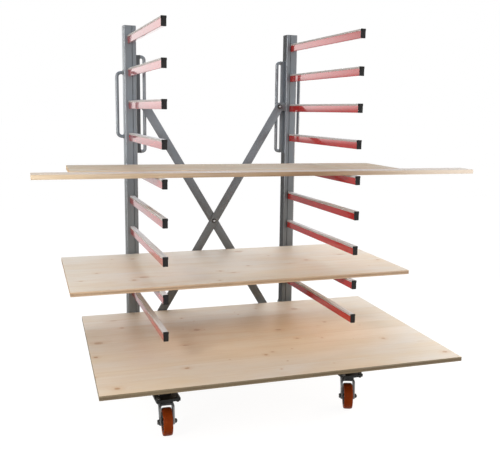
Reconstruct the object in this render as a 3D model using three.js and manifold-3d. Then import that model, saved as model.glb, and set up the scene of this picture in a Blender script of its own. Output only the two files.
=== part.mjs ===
// Sheet goods cart: a mobile cantilever rack on swivel casters.
// Two uprights stand on long base legs, each upright carries a ladder of
// cantilever arms, a bolted X-brace ties the two sides together, bow handles
// steer it, and four loose boards lie on the arms.
// Millimetres, +Z up, +X along the cart, arms reach towards -Y (the loading side).

import * as THREE from 'three';
import { mergeVertices } from 'three/addons/utils/BufferGeometryUtils.js';
import Module from 'manifold-3d';

const wasm = await Module();
wasm.setup();

// ---------------------------------------------------------------- dimensions
const GAP = 0.3;               // clearance kept between pieces that touch

// arms
const ARM_PITCH = 150;         // height step between arm levels
const ARM_COUNT = 9;           // levels on each upright
const ARM_W = 20;              // width of an arm
const ARM_H = 38;              // height of an arm with its top strip
const ARM_WALL = 2;
const ARM_CAP = 6;             // closed front end
const ARM_LEN = 759;           // tip to upright
const ARM_TOP_Z = 1590;        // underside of the highest arm
const COLUMN_LEFT_X = 9.8;     // centre plane of the left column
const COLUMN_RIGHT_X = 828.4;  // centre plane of the right column

// uprights
const UPRIGHT_W = 58;
const UPRIGHT_D = 60;
const UPRIGHT_WALL = 3;
const UPRIGHT_R = 8;           // corner radius
const UPRIGHT_LEFT_X = 10.8;   // middle of the left upright
const UPRIGHT_RIGHT_X = 825.8; // middle of the right upright
const UPRIGHT_TOP_Z = 1673;
const GROOVE_OFF = 9.2;        // rolled groove, from the middle to the inner side
const GROOVE_W = 3;
const GROOVE_D = 2;

// base legs
const LEG_W = 50;
const LEG_H = 120;
const LEG_WALL = 4;
const LEG_FRONT_Y = 20;
const LEG_REAR_Y = 842;
const LEG_BOTTOM_Z = 158;
const FOOT_PLATE_T = 6;        // plate welded under each end of a leg

// casters
const CASTER_INSET_LEFT = 4;   // how far a swivel axis sits inside its column plane
const CASTER_INSET_RIGHT = 0;
const CASTER_FRONT_Y = 32;
const CASTER_REAR_Y = 788;
const PLATE_X = 98;
const PLATE_Y = 108;
const PLATE_T = 5;
const WHEEL_R = 56;
const WHEEL_W = 38;
const TRAIL = 30;              // axle behind the swivel axis
const FORK_IN = 22.5;          // half width between the fork legs
const FORK_T = 8;             // legs with their turned edges
const AXLE_R = 6;
const SWIVEL_DEG = { front_left: -5, front_right: -21, rear_left: 14, rear_right: -10 };

// X-brace
const BRACE_W = 42;
const BRACE_T = 5;
const BRACE_FRONT_Y = 760;     // front face of the front bar
const LUG_T = 6;
const LUG_IN = 32.5;           // upper bolt centre, from the inner face of the upright
const LUG_R = 20;
const BRACE_TOP_Z = 1315;
const BRACE_MID_Z = 738.9;     // the crossing, a little below half height
const BRACE_LOW_Z = 190;
const BOLT_R = 5;

// handles
const BAR_R = 8;
const OUTER_REACH = 36.5;      // outer bow, face to outside of bar
const OUTER_Y = 802;
const OUTER_Z = [1152, 1467];
const OUTER_BEND = 20;
const INNER_REACH = 48;
const INNER_Y = 790;
const INNER_Z = [1081, 1542];
const INNER_BEND = 14;
const STRIP_W = 20;            // flat strip that carries the inner bow
const STRIP_T = 8;

// boards: centre x, centre y, turn in degrees, length, depth
const BOARD_T = 18;
const PANEL_BOTTOM = { x: 475, y: 237, turn: -2.18, length: 1468, depth: 1003 };
const PANEL_MIDDLE = { x: 398, y: 393, turn: -1.16, length: 1465, depth: 674 };
const PLANK_FRONT = { x: 479, y: 97, turn: -1.3, length: 1892, depth: 105 };
const PLANK_REAR = { x: 399, y: 333, turn: -1.9, length: 1430, depth: 330 };

// ---------------------------------------------------------------- materials
const mat = (color, roughness, metalness) => () => new THREE.MeshStandardMaterial({ color, roughness, metalness });
const GREY_COAT = mat(0x6f7880, 0.42, 0.15);
const RED_COAT = mat(0xb3231d, 0.22, 0.1);
const ZINC = mat(0x8d9299, 0.4, 0.85);
const BLACK_STEEL = mat(0x1d2124, 0.5, 0.3);
const DARK_STEEL = mat(0x3a3a3a, 0.45, 0.7);
const POLYURETHANE = mat(0x9a3f12, 0.5, 0.0);
const PINE = mat(0xd8c3a5, 0.65, 0.0);

// ---------------------------------------------------------------- solid helpers
function solid(geometry) {
  const g = geometry.clone();
  g.deleteAttribute('normal');
  g.deleteAttribute('uv');
  const m = mergeVertices(g, 1e-4);
  const mesh = new wasm.Mesh({
    numProp: 3,
    vertProperties: new Float32Array(m.attributes.position.array),
    triVerts: new Uint32Array(m.index.array),
  });
  mesh.merge();
  return new wasm.Manifold(mesh);
}

function toGeometry(manifold) {
  const m = manifold.getMesh();
  const g = new THREE.BufferGeometry();
  g.setAttribute('position', new THREE.BufferAttribute(new Float32Array(m.vertProperties), 3));
  g.setIndex(new THREE.BufferAttribute(new Uint32Array(m.triVerts), 1));
  g.computeVertexNormals();
  return g;
}

// box between two corners
function box(x0, y0, z0, x1, y1, z1) {
  return new THREE.BoxGeometry(x1 - x0, y1 - y0, z1 - z0)
    .translate((x0 + x1) / 2, (y0 + y1) / 2, (z0 + z1) / 2);
}

// cylinder between two stations along X, Y or Z
function rod(axis, r, a, b, u, v, seg = 12, turn = 0) {
  const g = new THREE.CylinderGeometry(r, r, b - a, seg).rotateY(turn);
  const c = (a + b) / 2;
  if (axis === 'x') return g.rotateZ(-Math.PI / 2).translate(c, u, v);
  if (axis === 'y') return g.translate(u, c, v);
  return g.rotateX(Math.PI / 2).translate(u, v, c);
}

// outline in the XZ plane, extruded along Y from y0 to y1
function slabXZ(shape, y0, y1, seg = 8) {
  return new THREE.ExtrudeGeometry(shape, { depth: y1 - y0, bevelEnabled: false, curveSegments: seg })
    .rotateX(Math.PI / 2).translate(0, y1, 0);
}

// outline in the YZ plane, extruded along X from x0 to x1
function slabYZ(shape, x0, x1, seg = 8) {
  return new THREE.ExtrudeGeometry(shape, { depth: x1 - x0, bevelEnabled: false, curveSegments: seg })
    .rotateX(Math.PI / 2).rotateZ(Math.PI / 2).translate(x0, 0, 0);
}

const root = new THREE.Group();

function add(parent, name, geometry, material) {
  const mesh = new THREE.Mesh(geometry, material());
  mesh.name = name;
  parent.add(mesh);
  return mesh;
}

// ---------------------------------------------------------------- uprights
// rounded rectangular profile, hollow, closed at the top, with a rolled groove in the
// front face on its inner side (inner = +1 or -1)
function uprightGeometry(cx, inner) {
  const hw = UPRIGHT_W / 2;
  const r = UPRIGHT_R;
  const y0 = ARM_LEN;
  const y1 = ARM_LEN + UPRIGHT_D;
  const s = new THREE.Shape();
  const g0 = cx + inner * GROOVE_OFF - GROOVE_W / 2;
  const g1 = g0 + GROOVE_W;
  s.moveTo(cx - hw + r, y0);
  s.lineTo(g0, y0);
  s.lineTo(g0 + 0.6, y0 + GROOVE_D);
  s.lineTo(g1 - 0.6, y0 + GROOVE_D);
  s.lineTo(g1, y0);
  s.lineTo(cx + hw - r, y0);
  s.absarc(cx + hw - r, y0 + r, r, -Math.PI / 2, 0, false);
  s.absarc(cx + hw - r, y1 - r, r, 0, Math.PI / 2, false);
  s.absarc(cx - hw + r, y1 - r, r, Math.PI / 2, Math.PI, false);
  s.absarc(cx - hw + r, y0 + r, r, Math.PI, Math.PI * 1.5, false);
  const foot = LEG_BOTTOM_Z + LEG_H + GAP;
  const outer = new THREE.ExtrudeGeometry(s, { depth: UPRIGHT_TOP_Z - foot, bevelEnabled: false, curveSegments: 2 })
    .translate(0, 0, foot);
  const w = UPRIGHT_WALL + GROOVE_D * 0.5;
  const inside = box(cx - hw + UPRIGHT_WALL, y0 + w + 1, foot - 10, cx + hw - UPRIGHT_WALL, y1 - UPRIGHT_WALL, UPRIGHT_TOP_Z - 4);
  return toGeometry(solid(outer).subtract(solid(inside)));
}
add(root, 'upright_left', uprightGeometry(UPRIGHT_LEFT_X, 1), GREY_COAT);
add(root, 'upright_right', uprightGeometry(UPRIGHT_RIGHT_X, -1), GREY_COAT);

// ---------------------------------------------------------------- base legs
// rectangular tube under the upright, reaching forward, with a bolting plate under each end
const BOLT_DX = 39;
const BOLT_DY = 43;
function legGeometry(cx, casterX) {
  const hw = LEG_W / 2;
  const z0 = LEG_BOTTOM_Z;
  const z1 = z0 + LEG_H;
  let leg = solid(box(cx - hw, LEG_FRONT_Y, z0 - 0.5, cx + hw, LEG_REAR_Y, z1))
    .subtract(solid(box(cx - hw + LEG_WALL, LEG_FRONT_Y - 5, z0 + LEG_WALL, cx + hw - LEG_WALL, LEG_REAR_Y + 5, z1 - LEG_WALL)));
  for (const y of [CASTER_FRONT_Y, CASTER_REAR_Y]) {
    leg = leg.add(solid(box(casterX - PLATE_X / 2, y - PLATE_Y / 2, z0 - FOOT_PLATE_T, casterX + PLATE_X / 2, y + PLATE_Y / 2, z0)));
    for (const sx of [-1, 1]) for (const sy of [-1, 1]) {
      leg = leg.subtract(solid(rod('z', 4.6, z0 - FOOT_PLATE_T - 2, z0 + 2, casterX + sx * BOLT_DX, y + sy * BOLT_DY, 8)));
    }
  }
  return toGeometry(leg);
}
const CASTER_LEFT_X = COLUMN_LEFT_X + CASTER_INSET_LEFT;
const CASTER_RIGHT_X = COLUMN_RIGHT_X - CASTER_INSET_RIGHT;
add(root, 'base_leg_left', legGeometry(COLUMN_LEFT_X, CASTER_LEFT_X), GREY_COAT);
add(root, 'base_leg_right', legGeometry(COLUMN_RIGHT_X, CASTER_RIGHT_X), GREY_COAT);

// ---------------------------------------------------------------- cantilever arms
// rectangular tube with its top wear strip, closed at the tip and open into the upright
function armGeometry() {
  const hw = ARM_W / 2;
  const tube = solid(box(-hw, 0, 0, hw, ARM_LEN - GAP, ARM_H));
  const hollow = solid(box(-hw + ARM_WALL, ARM_CAP, ARM_WALL, hw - ARM_WALL, ARM_LEN + 10, ARM_H - 2 * ARM_WALL));
  return toGeometry(tube.subtract(hollow));
}
for (const [side, x] of [['left', COLUMN_LEFT_X], ['right', COLUMN_RIGHT_X]]) {
  for (let i = 0; i < ARM_COUNT; i++) {
    add(root, `arm_${side}_${i + 1}`, armGeometry(), RED_COAT)
      .position.set(x, 0, ARM_TOP_Z - i * ARM_PITCH);
  }
}

// ---------------------------------------------------------------- X-brace
// the front bar rises from the lower left lug to the upper right one, the rear bar crosses behind it
const INNER_LEFT_X = UPRIGHT_LEFT_X + UPRIGHT_W / 2;
const INNER_RIGHT_X = UPRIGHT_RIGHT_X - UPRIGHT_W / 2;
const BOLT_LEFT_X = INNER_LEFT_X + LUG_IN;
const BOLT_RIGHT_X = INNER_RIGHT_X - LUG_IN;
const BOLT_MID_X = (BOLT_LEFT_X + BOLT_RIGHT_X) / 2;
const LOW_HALF = (BOLT_RIGHT_X - BOLT_MID_X) * (BRACE_MID_Z - BRACE_LOW_Z) / (BRACE_TOP_Z - BRACE_MID_Z);
const LOW_LEFT_X = BOLT_MID_X - LOW_HALF;
const LOW_RIGHT_X = BOLT_MID_X + LOW_HALF;
const BRACE_REAR_Y = BRACE_FRONT_Y + BRACE_T + GAP;
const LUG_FRONT_Y = BRACE_FRONT_Y + BRACE_T + GAP;   // lugs behind the front bar
const LUG_REAR_Y = BRACE_REAR_Y + BRACE_T + GAP;     // lugs behind the rear bar

// flat lug with a round end, welded to the inner face
function lugGeometry(face, bolt, z, y0) {
  const dir = Math.sign(bolt - face);
  const s = new THREE.Shape();
  const x0 = face + dir * GAP;
  if (dir > 0) {
    s.moveTo(x0, z - LUG_R);
    s.absarc(bolt, z, LUG_R, -Math.PI / 2, Math.PI / 2, false);
    s.lineTo(x0, z + LUG_R);
  } else {
    s.moveTo(x0, z + LUG_R);
    s.absarc(bolt, z, LUG_R, Math.PI / 2, Math.PI * 1.5, false);
    s.lineTo(x0, z - LUG_R);
  }
  const plate = solid(slabXZ(s, y0, y0 + LUG_T, 5));
  return toGeometry(plate.subtract(solid(rod('y', BOLT_R + 0.4, y0 - 2, y0 + LUG_T + 2, bolt, z))));
}
add(root, 'brace_lug_upper_left', lugGeometry(INNER_LEFT_X, BOLT_LEFT_X, BRACE_TOP_Z, LUG_REAR_Y), GREY_COAT);
add(root, 'brace_lug_upper_right', lugGeometry(INNER_RIGHT_X, BOLT_RIGHT_X, BRACE_TOP_Z, LUG_FRONT_Y), GREY_COAT);
add(root, 'brace_lug_lower_left', lugGeometry(COLUMN_LEFT_X + LEG_W / 2, LOW_LEFT_X, BRACE_LOW_Z, LUG_FRONT_Y), GREY_COAT);
add(root, 'brace_lug_lower_right', lugGeometry(COLUMN_RIGHT_X - LEG_W / 2, LOW_RIGHT_X, BRACE_LOW_Z, LUG_REAR_Y), GREY_COAT);

// flat bar with round ends and three bolt holes
function barGeometry(xa, za, xb, zb, y0) {
  const len = Math.hypot(xb - xa, zb - za);
  const ang = Math.atan2(zb - za, xb - xa);
  const r = BRACE_W / 2;
  const s = new THREE.Shape();
  s.moveTo(0, -r);
  s.lineTo(len, -r);
  s.absarc(len, 0, r, -Math.PI / 2, Math.PI / 2, false);
  s.lineTo(0, r);
  s.absarc(0, 0, r, Math.PI / 2, Math.PI * 1.5, false);
  let bar = solid(slabXZ(s, y0, y0 + BRACE_T, 5));
  for (const d of [0, Math.hypot(BOLT_MID_X - xa, BRACE_MID_Z - za), len]) {
    bar = bar.subtract(solid(rod('y', BOLT_R + 0.4, y0 - 2, y0 + BRACE_T + 2, d, 0)));
  }
  return toGeometry(bar).rotateY(-ang).translate(xa, 0, za);
}
add(root, 'brace_bar_front', barGeometry(LOW_LEFT_X, BRACE_LOW_Z, BOLT_RIGHT_X, BRACE_TOP_Z, BRACE_FRONT_Y), GREY_COAT);
add(root, 'brace_bar_rear', barGeometry(LOW_RIGHT_X, BRACE_LOW_Z, BOLT_LEFT_X, BRACE_TOP_Z, BRACE_REAR_Y), GREY_COAT);

// bolt with its nut, washer and thread end on the loading side and a flat round head behind
function boltGeometry(x, z, yFront, yRear) {
  const p = [[0, yFront - 8.4], [4.2, yFront - 8.4], [4.2, yFront - 1.6], [11, yFront - 1.6], [11, yFront], [BOLT_R, yFront],
    [BOLT_R, yRear], [9, yRear], [9, yRear + 1.6], [6, yRear + 3.2], [0, yRear + 3.4]];
  const lathe = new THREE.LatheGeometry(p.map(([r, y]) => new THREE.Vector2(r, y)), 12);
  const nut = rod('y', 8.6, yFront - 6.6, yFront - 1, 0, 0, 6, Math.PI / 6);
  return toGeometry(solid(lathe).add(solid(nut)).translate([x, 0, z]));
}
const FRONT_FACE = BRACE_FRONT_Y - GAP;
const REAR_FACE = BRACE_REAR_Y - GAP;
add(root, 'brace_bolt_centre', boltGeometry(BOLT_MID_X, BRACE_MID_Z, FRONT_FACE, LUG_REAR_Y), ZINC);
add(root, 'brace_bolt_upper_right', boltGeometry(BOLT_RIGHT_X, BRACE_TOP_Z, FRONT_FACE, LUG_FRONT_Y + LUG_T + GAP), ZINC);
add(root, 'brace_bolt_lower_left', boltGeometry(LOW_LEFT_X, BRACE_LOW_Z, FRONT_FACE, LUG_FRONT_Y + LUG_T + GAP), ZINC);
add(root, 'brace_bolt_upper_left', boltGeometry(BOLT_LEFT_X, BRACE_TOP_Z, REAR_FACE, LUG_REAR_Y + LUG_T + GAP), ZINC);
add(root, 'brace_bolt_lower_right', boltGeometry(LOW_RIGHT_X, BRACE_LOW_Z, REAR_FACE, LUG_REAR_Y + LUG_T + GAP), ZINC);

// ---------------------------------------------------------------- handles
// round bar bent into a bow: out of the face at the bottom, up, and back in at the top
function bowGeometry(xFace, xBar, y, zLow, zHigh, bend, steps) {
  const dir = Math.sign(xBar - xFace);
  const v = (x, z) => new THREE.Vector3(x, y, z);
  const path = new THREE.CurvePath();
  path.add(new THREE.LineCurve3(v(xFace, zLow), v(xBar - dir * bend, zLow)));
  path.add(new THREE.QuadraticBezierCurve3(v(xBar - dir * bend, zLow), v(xBar, zLow), v(xBar, zLow + bend)));
  path.add(new THREE.LineCurve3(v(xBar, zLow + bend), v(xBar, zHigh - bend)));
  path.add(new THREE.QuadraticBezierCurve3(v(xBar, zHigh - bend), v(xBar, zHigh), v(xBar - dir * bend, zHigh)));
  path.add(new THREE.LineCurve3(v(xBar - dir * bend, zHigh), v(xFace, zHigh)));
  const section = new THREE.Shape();
  section.absarc(0, 0, BAR_R, 0, Math.PI * 2, false);
  return new THREE.ExtrudeGeometry(section, { steps, curveSegments: 4, bevelEnabled: false, extrudePath: path });
}
for (const [side, cx, out] of [['left', UPRIGHT_LEFT_X, -1], ['right', UPRIGHT_RIGHT_X, 1]]) {
  const faceOut = cx + out * UPRIGHT_W / 2;
  const bow = bowGeometry(faceOut + out * GAP, faceOut + out * (OUTER_REACH - BAR_R), OUTER_Y,
    OUTER_Z[0] + BAR_R, OUTER_Z[1] - BAR_R, OUTER_BEND, 28);
  add(root, `handle_outer_${side}`, toGeometry(solid(bow)), GREY_COAT);

  const faceIn = cx - out * UPRIGHT_W / 2;
  const a = faceIn - out * GAP;
  const b = faceIn - out * STRIP_W;
  const strip = box(Math.min(a, b), INNER_Y - STRIP_T / 2, INNER_Z[0], Math.max(a, b), INNER_Y + STRIP_T / 2, INNER_Z[1]);
  const innerBow = bowGeometry(faceIn - out * STRIP_W * 0.5, faceIn - out * (INNER_REACH - BAR_R), INNER_Y,
    INNER_Z[0] + BAR_R, INNER_Z[1] - BAR_R, INNER_BEND, 38);
  add(root, `handle_inner_${side}`, toGeometry(solid(strip).add(solid(innerBow))), GREY_COAT);
}

// ---------------------------------------------------------------- casters
// local frame: origin on the floor under the swivel axis, wheel trails towards -Y
const PLATE_TOP = LEG_BOTTOM_Z - FOOT_PLATE_T - GAP;
const PLATE_LOW = PLATE_TOP - PLATE_T;
const RACE_LOW = PLATE_LOW - 14;
const CROWN_TOP = RACE_LOW - 0.5;
const CROWN_LOW = CROWN_TOP - 8;

// top plate with its four studs and nuts, ball race and king pin
function plateGeometry() {
  const hx = PLATE_X / 2;
  const hy = PLATE_Y / 2;
  const r = 5;
  const s = new THREE.Shape();
  s.moveTo(-hx + r, -hy);
  s.lineTo(hx - r, -hy);
  s.absarc(hx - r, -hy + r, r, -Math.PI / 2, 0, false);
  s.absarc(hx - r, hy - r, r, 0, Math.PI / 2, false);
  s.absarc(-hx + r, hy - r, r, Math.PI / 2, Math.PI, false);
  s.absarc(-hx + r, -hy + r, r, Math.PI, Math.PI * 1.5, false);
  let plate = solid(new THREE.ExtrudeGeometry(s, { depth: PLATE_T, bevelEnabled: false, curveSegments: 3 }).translate(0, 0, PLATE_LOW));
  const race = [[0, CROWN_LOW - 5.4], [10, CROWN_LOW - 5.4], [10, CROWN_LOW - 0.6], [7, CROWN_LOW - 0.6], [7, RACE_LOW],
    [32, RACE_LOW], [36, PLATE_LOW + 0.5], [0, PLATE_LOW + 0.5]];
  plate = plate.add(solid(new THREE.LatheGeometry(race.map(([q, y]) => new THREE.Vector2(q, y)), 16).rotateX(Math.PI / 2)));
  for (const sx of [-1, 1]) for (const sy of [-1, 1]) {
    const x = sx * BOLT_DX;
    const y = sy * BOLT_DY;
    plate = plate
      .add(solid(rod('z', 4, PLATE_TOP - 0.5, LEG_BOTTOM_Z + 8.5, x, y, 8)))
      .add(solid(rod('z', 7.4, LEG_BOTTOM_Z + GAP, LEG_BOTTOM_Z + 6.6, x, y, 6)));
  }
  return toGeometry(plate);
}

// crown plate with two tapering legs and the axle holes
function forkGeometry() {
  const s = new THREE.Shape();
  const ay = -TRAIL;
  const az = WHEEL_R;
  const boss = 15;
  s.moveTo(24, CROWN_TOP);
  s.lineTo(-30, CROWN_TOP);
  s.lineTo(-35, CROWN_TOP - 14);
  s.lineTo(ay - boss, az + 4);
  s.absarc(ay, az, boss, Math.PI, Math.PI * 2 + 0.35, false);
  s.lineTo(22, CROWN_TOP - 14);
  s.closePath();
  let fork = solid(slabYZ(s, FORK_IN, FORK_IN + FORK_T, 5)).add(solid(slabYZ(s, -FORK_IN - FORK_T, -FORK_IN, 5)));
  fork = fork.add(solid(box(-FORK_IN - 1, -30, CROWN_LOW, FORK_IN + 1, 24, CROWN_TOP)));
  fork = fork.subtract(solid(rod('z', 7.6, CROWN_LOW - 2, CROWN_TOP + 2, 0, 0, 16)));
  fork = fork.subtract(solid(rod('x', AXLE_R + 0.4, -FORK_IN - 10, FORK_IN + 10, ay, az, 16)));
  return toGeometry(fork);
}

// tyre, rim and hub turned in one profile around the axle
function wheelGeometry() {
  const w = WHEEL_W / 2;
  const half = [[AXLE_R + 0.4, FORK_IN - 2], [13, FORK_IN - 2], [16, w - 8], [37, w - 8], [42, w - 0.8], [52, w], [55.1, w - 3], [WHEEL_R, w - 9]];
  const pts = half.map(([r, x]) => new THREE.Vector2(r, x)).concat(half.slice().reverse().map(([r, x]) => new THREE.Vector2(r, -x)));
  pts.push(pts[0].clone());
  pts.reverse();
  return toGeometry(solid(new THREE.LatheGeometry(pts, 24).rotateZ(-Math.PI / 2)));
}

// axle bolt with a hexagon head and a nut, along X
function axleGeometry() {
  const out = FORK_IN + FORK_T + GAP;
  return toGeometry(solid(rod('x', AXLE_R, -out - 2, out + 11, 0, 0, 16))
    .add(solid(rod('x', 10.2, -out - 7.5, -out, 0, 0, 6)))
    .add(solid(rod('x', 10.2, out, out + 8.5, 0, 0, 6))));
}

const CASTERS = [
  ['front_left', CASTER_LEFT_X, CASTER_FRONT_Y],
  ['front_right', CASTER_RIGHT_X, CASTER_FRONT_Y],
  ['rear_left', CASTER_LEFT_X, CASTER_REAR_Y],
  ['rear_right', CASTER_RIGHT_X, CASTER_REAR_Y],
];
for (const [where, x, y] of CASTERS) {
  add(root, `caster_${where}_plate`, plateGeometry(), BLACK_STEEL).position.set(x, y, 0);
  const swivel = new THREE.Group();
  swivel.position.set(x, y, 0);
  swivel.rotation.z = THREE.MathUtils.degToRad(SWIVEL_DEG[where]);
  root.add(swivel);
  add(swivel, `caster_${where}_fork`, forkGeometry(), ZINC);
  add(swivel, `caster_${where}_axle`, axleGeometry(), DARK_STEEL).position.set(0, -TRAIL, WHEEL_R);
  add(swivel, `caster_${where}_wheel`, wheelGeometry(), POLYURETHANE).position.set(0, -TRAIL, WHEEL_R);
}

// ---------------------------------------------------------------- boards
function board(name, { x, y, turn, length, depth }, under) {
  const m = add(root, name, new THREE.BoxGeometry(length, depth, BOARD_T), PINE);
  m.position.set(x, y, under + GAP + BOARD_T / 2);
  m.rotation.z = THREE.MathUtils.degToRad(turn);
}
board('panel_bottom', PANEL_BOTTOM, LEG_BOTTOM_Z + LEG_H);
board('panel_middle', PANEL_MIDDLE, ARM_TOP_Z - 7 * ARM_PITCH + ARM_H);
board('plank_front', PLANK_FRONT, ARM_TOP_Z - 4 * ARM_PITCH + ARM_H);
board('plank_rear', PLANK_REAR, ARM_TOP_Z - 4 * ARM_PITCH + ARM_H);

// ---------------------------------------------------------------- frame
// origin: on the floor, under the middle of the loaded cart's outline
root.updateMatrixWorld(true);
const outline = new THREE.Box3().setFromObject(root, true);
const middle = outline.getCenter(new THREE.Vector3());
root.position.set(-middle.x, -middle.y, 0);

const cart = new THREE.Group();
cart.name = 'sheet_goods_cart';
cart.add(root);
cart.updateMatrixWorld(true);

export default cart;
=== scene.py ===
import math

import bmesh
import bpy
from mathutils import Matrix, Vector


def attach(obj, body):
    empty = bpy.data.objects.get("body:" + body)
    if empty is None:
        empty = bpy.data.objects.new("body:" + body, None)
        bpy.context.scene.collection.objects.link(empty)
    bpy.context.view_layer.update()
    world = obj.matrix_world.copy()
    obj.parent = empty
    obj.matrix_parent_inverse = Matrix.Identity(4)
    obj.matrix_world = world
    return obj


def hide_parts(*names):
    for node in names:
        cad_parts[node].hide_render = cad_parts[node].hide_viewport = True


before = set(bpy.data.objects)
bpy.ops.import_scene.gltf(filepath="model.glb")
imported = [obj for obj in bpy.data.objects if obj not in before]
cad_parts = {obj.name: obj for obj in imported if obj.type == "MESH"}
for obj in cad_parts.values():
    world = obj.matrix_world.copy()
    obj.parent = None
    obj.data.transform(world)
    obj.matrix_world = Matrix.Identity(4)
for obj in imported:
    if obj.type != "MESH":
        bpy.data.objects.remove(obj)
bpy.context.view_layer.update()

scene = bpy.context.scene

# ------------------------------------------------------------------ dimensions (metres, row frame)
SX, SY = -0.479, -0.2749711666
COL = {"left": 0.0098 + SX, "right": 0.8284 + SX}          # centre planes of the two columns
INWARD = {"left": 1.0, "right": -1.0}
ARM_TIP = SY                                                # front face of the end caps
ARM_ROOT = 0.7587 + SY
ARM_W, ARM_H, ARM_PITCH, ARM_TOP = 0.020, 0.038, 0.150, 1.590
STRIP_LIP = 0.0085
UP_X = {"left": 0.0108 + SX, "right": 0.8258 + SX}         # middles of the two uprights
UP_Y0, UP_Y1, UP_W = 0.759 + SY, 0.819 + SY, 0.058
UP_FOOT, UP_TOP, UP_R = 0.2783, 1.673, 0.0080
LEG_W, LEG_Z0, LEG_Z1, LEG_Y0, LEG_Y1 = 0.050, 0.158, 0.278, 0.020 + SY, 0.842 + SY
CASTER_X = {"left": 0.0138 + SX, "right": 0.8284 + SX}
CASTER_Y = {"front": 0.032 + SY, "rear": 0.788 + SY}
SWIVEL = {"front_left": -5.0, "front_right": -21.0, "rear_left": 14.0, "rear_right": -10.0}
BRACE_X = {"upper_left": 0.0723 + SX, "upper_right": 0.7643 + SX, "lower_left": 0.08864 + SX, "lower_right": 0.74796 + SX, "centre": 0.4183 + SX}
BRACE_Z = {"lower": 0.190, "centre": 0.7389, "upper": 1.315}
BAR_Y0, REAR_Y0 = 0.760 + SY, 0.7653 + SY                   # front faces of the two bars
LUG_Y0 = {"upper_right": 0.7653 + SY, "lower_left": 0.7653 + SY, "upper_left": 0.7706 + SY, "lower_right": 0.7706 + SY}
LUG_T = 0.006


# ------------------------------------------------------------------ node helpers
def put(node, socket, value):
    s = node.inputs[socket]
    if isinstance(value, bpy.types.NodeSocket):
        node.id_data.links.new(value, s)
    else:
        s.default_value = value


class Mat:
    def __init__(self, name):
        self.mat = bpy.data.materials.new(name)
        self.mat.use_nodes = True
        self.nt = self.mat.node_tree
        self.nt.nodes.clear()
        self.out = self.nt.nodes.new("ShaderNodeOutputMaterial")
        self.bsdf = self.nt.nodes.new("ShaderNodeBsdfPrincipled")
        self.nt.links.new(self.bsdf.outputs[0], self.out.inputs[0])
        self.tc = self.nt.nodes.new("ShaderNodeTexCoord")
        self.obj = self.tc.outputs["Object"]

    def node(self, kind, ins=None, **attrs):
        n = self.nt.nodes.new("ShaderNode" + kind)
        for k, v in attrs.items():
            setattr(n, k, v)
        for k, v in (ins or {}).items():
            put(n, k, v)
        return n

    def math(self, op, a, b=0.0, c=None):
        ins = {0: a, 1: b}
        if c is not None:
            ins[2] = c
        return self.node("Math", ins, operation=op).outputs[0]

    def vec(self, v, scale=(1, 1, 1), offset=(0, 0, 0)):
        return self.node("Mapping", {"Vector": v, "Scale": scale, "Location": offset}).outputs[0]

    def noise(self, v, scale, detail=3.0, rough=0.55, distort=0.0):
        return self.node("TexNoise", {"Vector": v, "Scale": scale, "Detail": detail, "Roughness": rough, "Distortion": distort}).outputs["Fac"]

    def ramp(self, fac, *stops, mode="LINEAR"):
        n = self.node("ValToRGB", {"Fac": fac})
        n.color_ramp.interpolation = mode
        while len(n.color_ramp.elements) < len(stops):
            n.color_ramp.elements.new(0.5)
        for e, (p, c) in zip(n.color_ramp.elements, stops):
            e.position = p
            e.color = (*c, 1.0)
        return n.outputs[0]

    def remap(self, fac, a, b, c, d, smooth=False):
        return self.node("MapRange", {"Value": fac, "From Min": a, "From Max": b, "To Min": c, "To Max": d},
                         interpolation_type="SMOOTHSTEP" if smooth else "LINEAR").outputs[0]

    def mix(self, fac, a, b, blend="MIX"):
        n = self.node("Mix", data_type="RGBA", blend_type=blend)
        put(n, 0, fac)
        put(n, 6, (*a, 1.0) if isinstance(a, tuple) else a)
        put(n, 7, (*b, 1.0) if isinstance(b, tuple) else b)
        return n.outputs[2]

    def bump(self, height, strength=0.3, distance=0.0003, normal=None):
        ins = {"Height": height, "Strength": strength, "Distance": distance}
        if normal is not None:
            ins["Normal"] = normal
        return self.node("Bump", ins).outputs[0]

    def set(self, **kw):
        names = {"color": "Base Color", "rough": "Roughness", "metal": "Metallic", "normal": "Normal", "coat": "Coat Weight",
                 "coat_rough": "Coat Roughness", "spec": "Specular IOR Level", "sss": "Subsurface Weight", "ior": "IOR",
                 "sss_radius": "Subsurface Radius", "sss_scale": "Subsurface Scale", "sheen": "Sheen Weight", "coat_ior": "Coat IOR",
                 "coat_normal": "Coat Normal", "aniso": "Anisotropic"}
        for k, v in kw.items():
            put(self.bsdf, names[k], (*v, 1.0) if k == "color" and isinstance(v, tuple) else v)
        return self.mat


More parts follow.
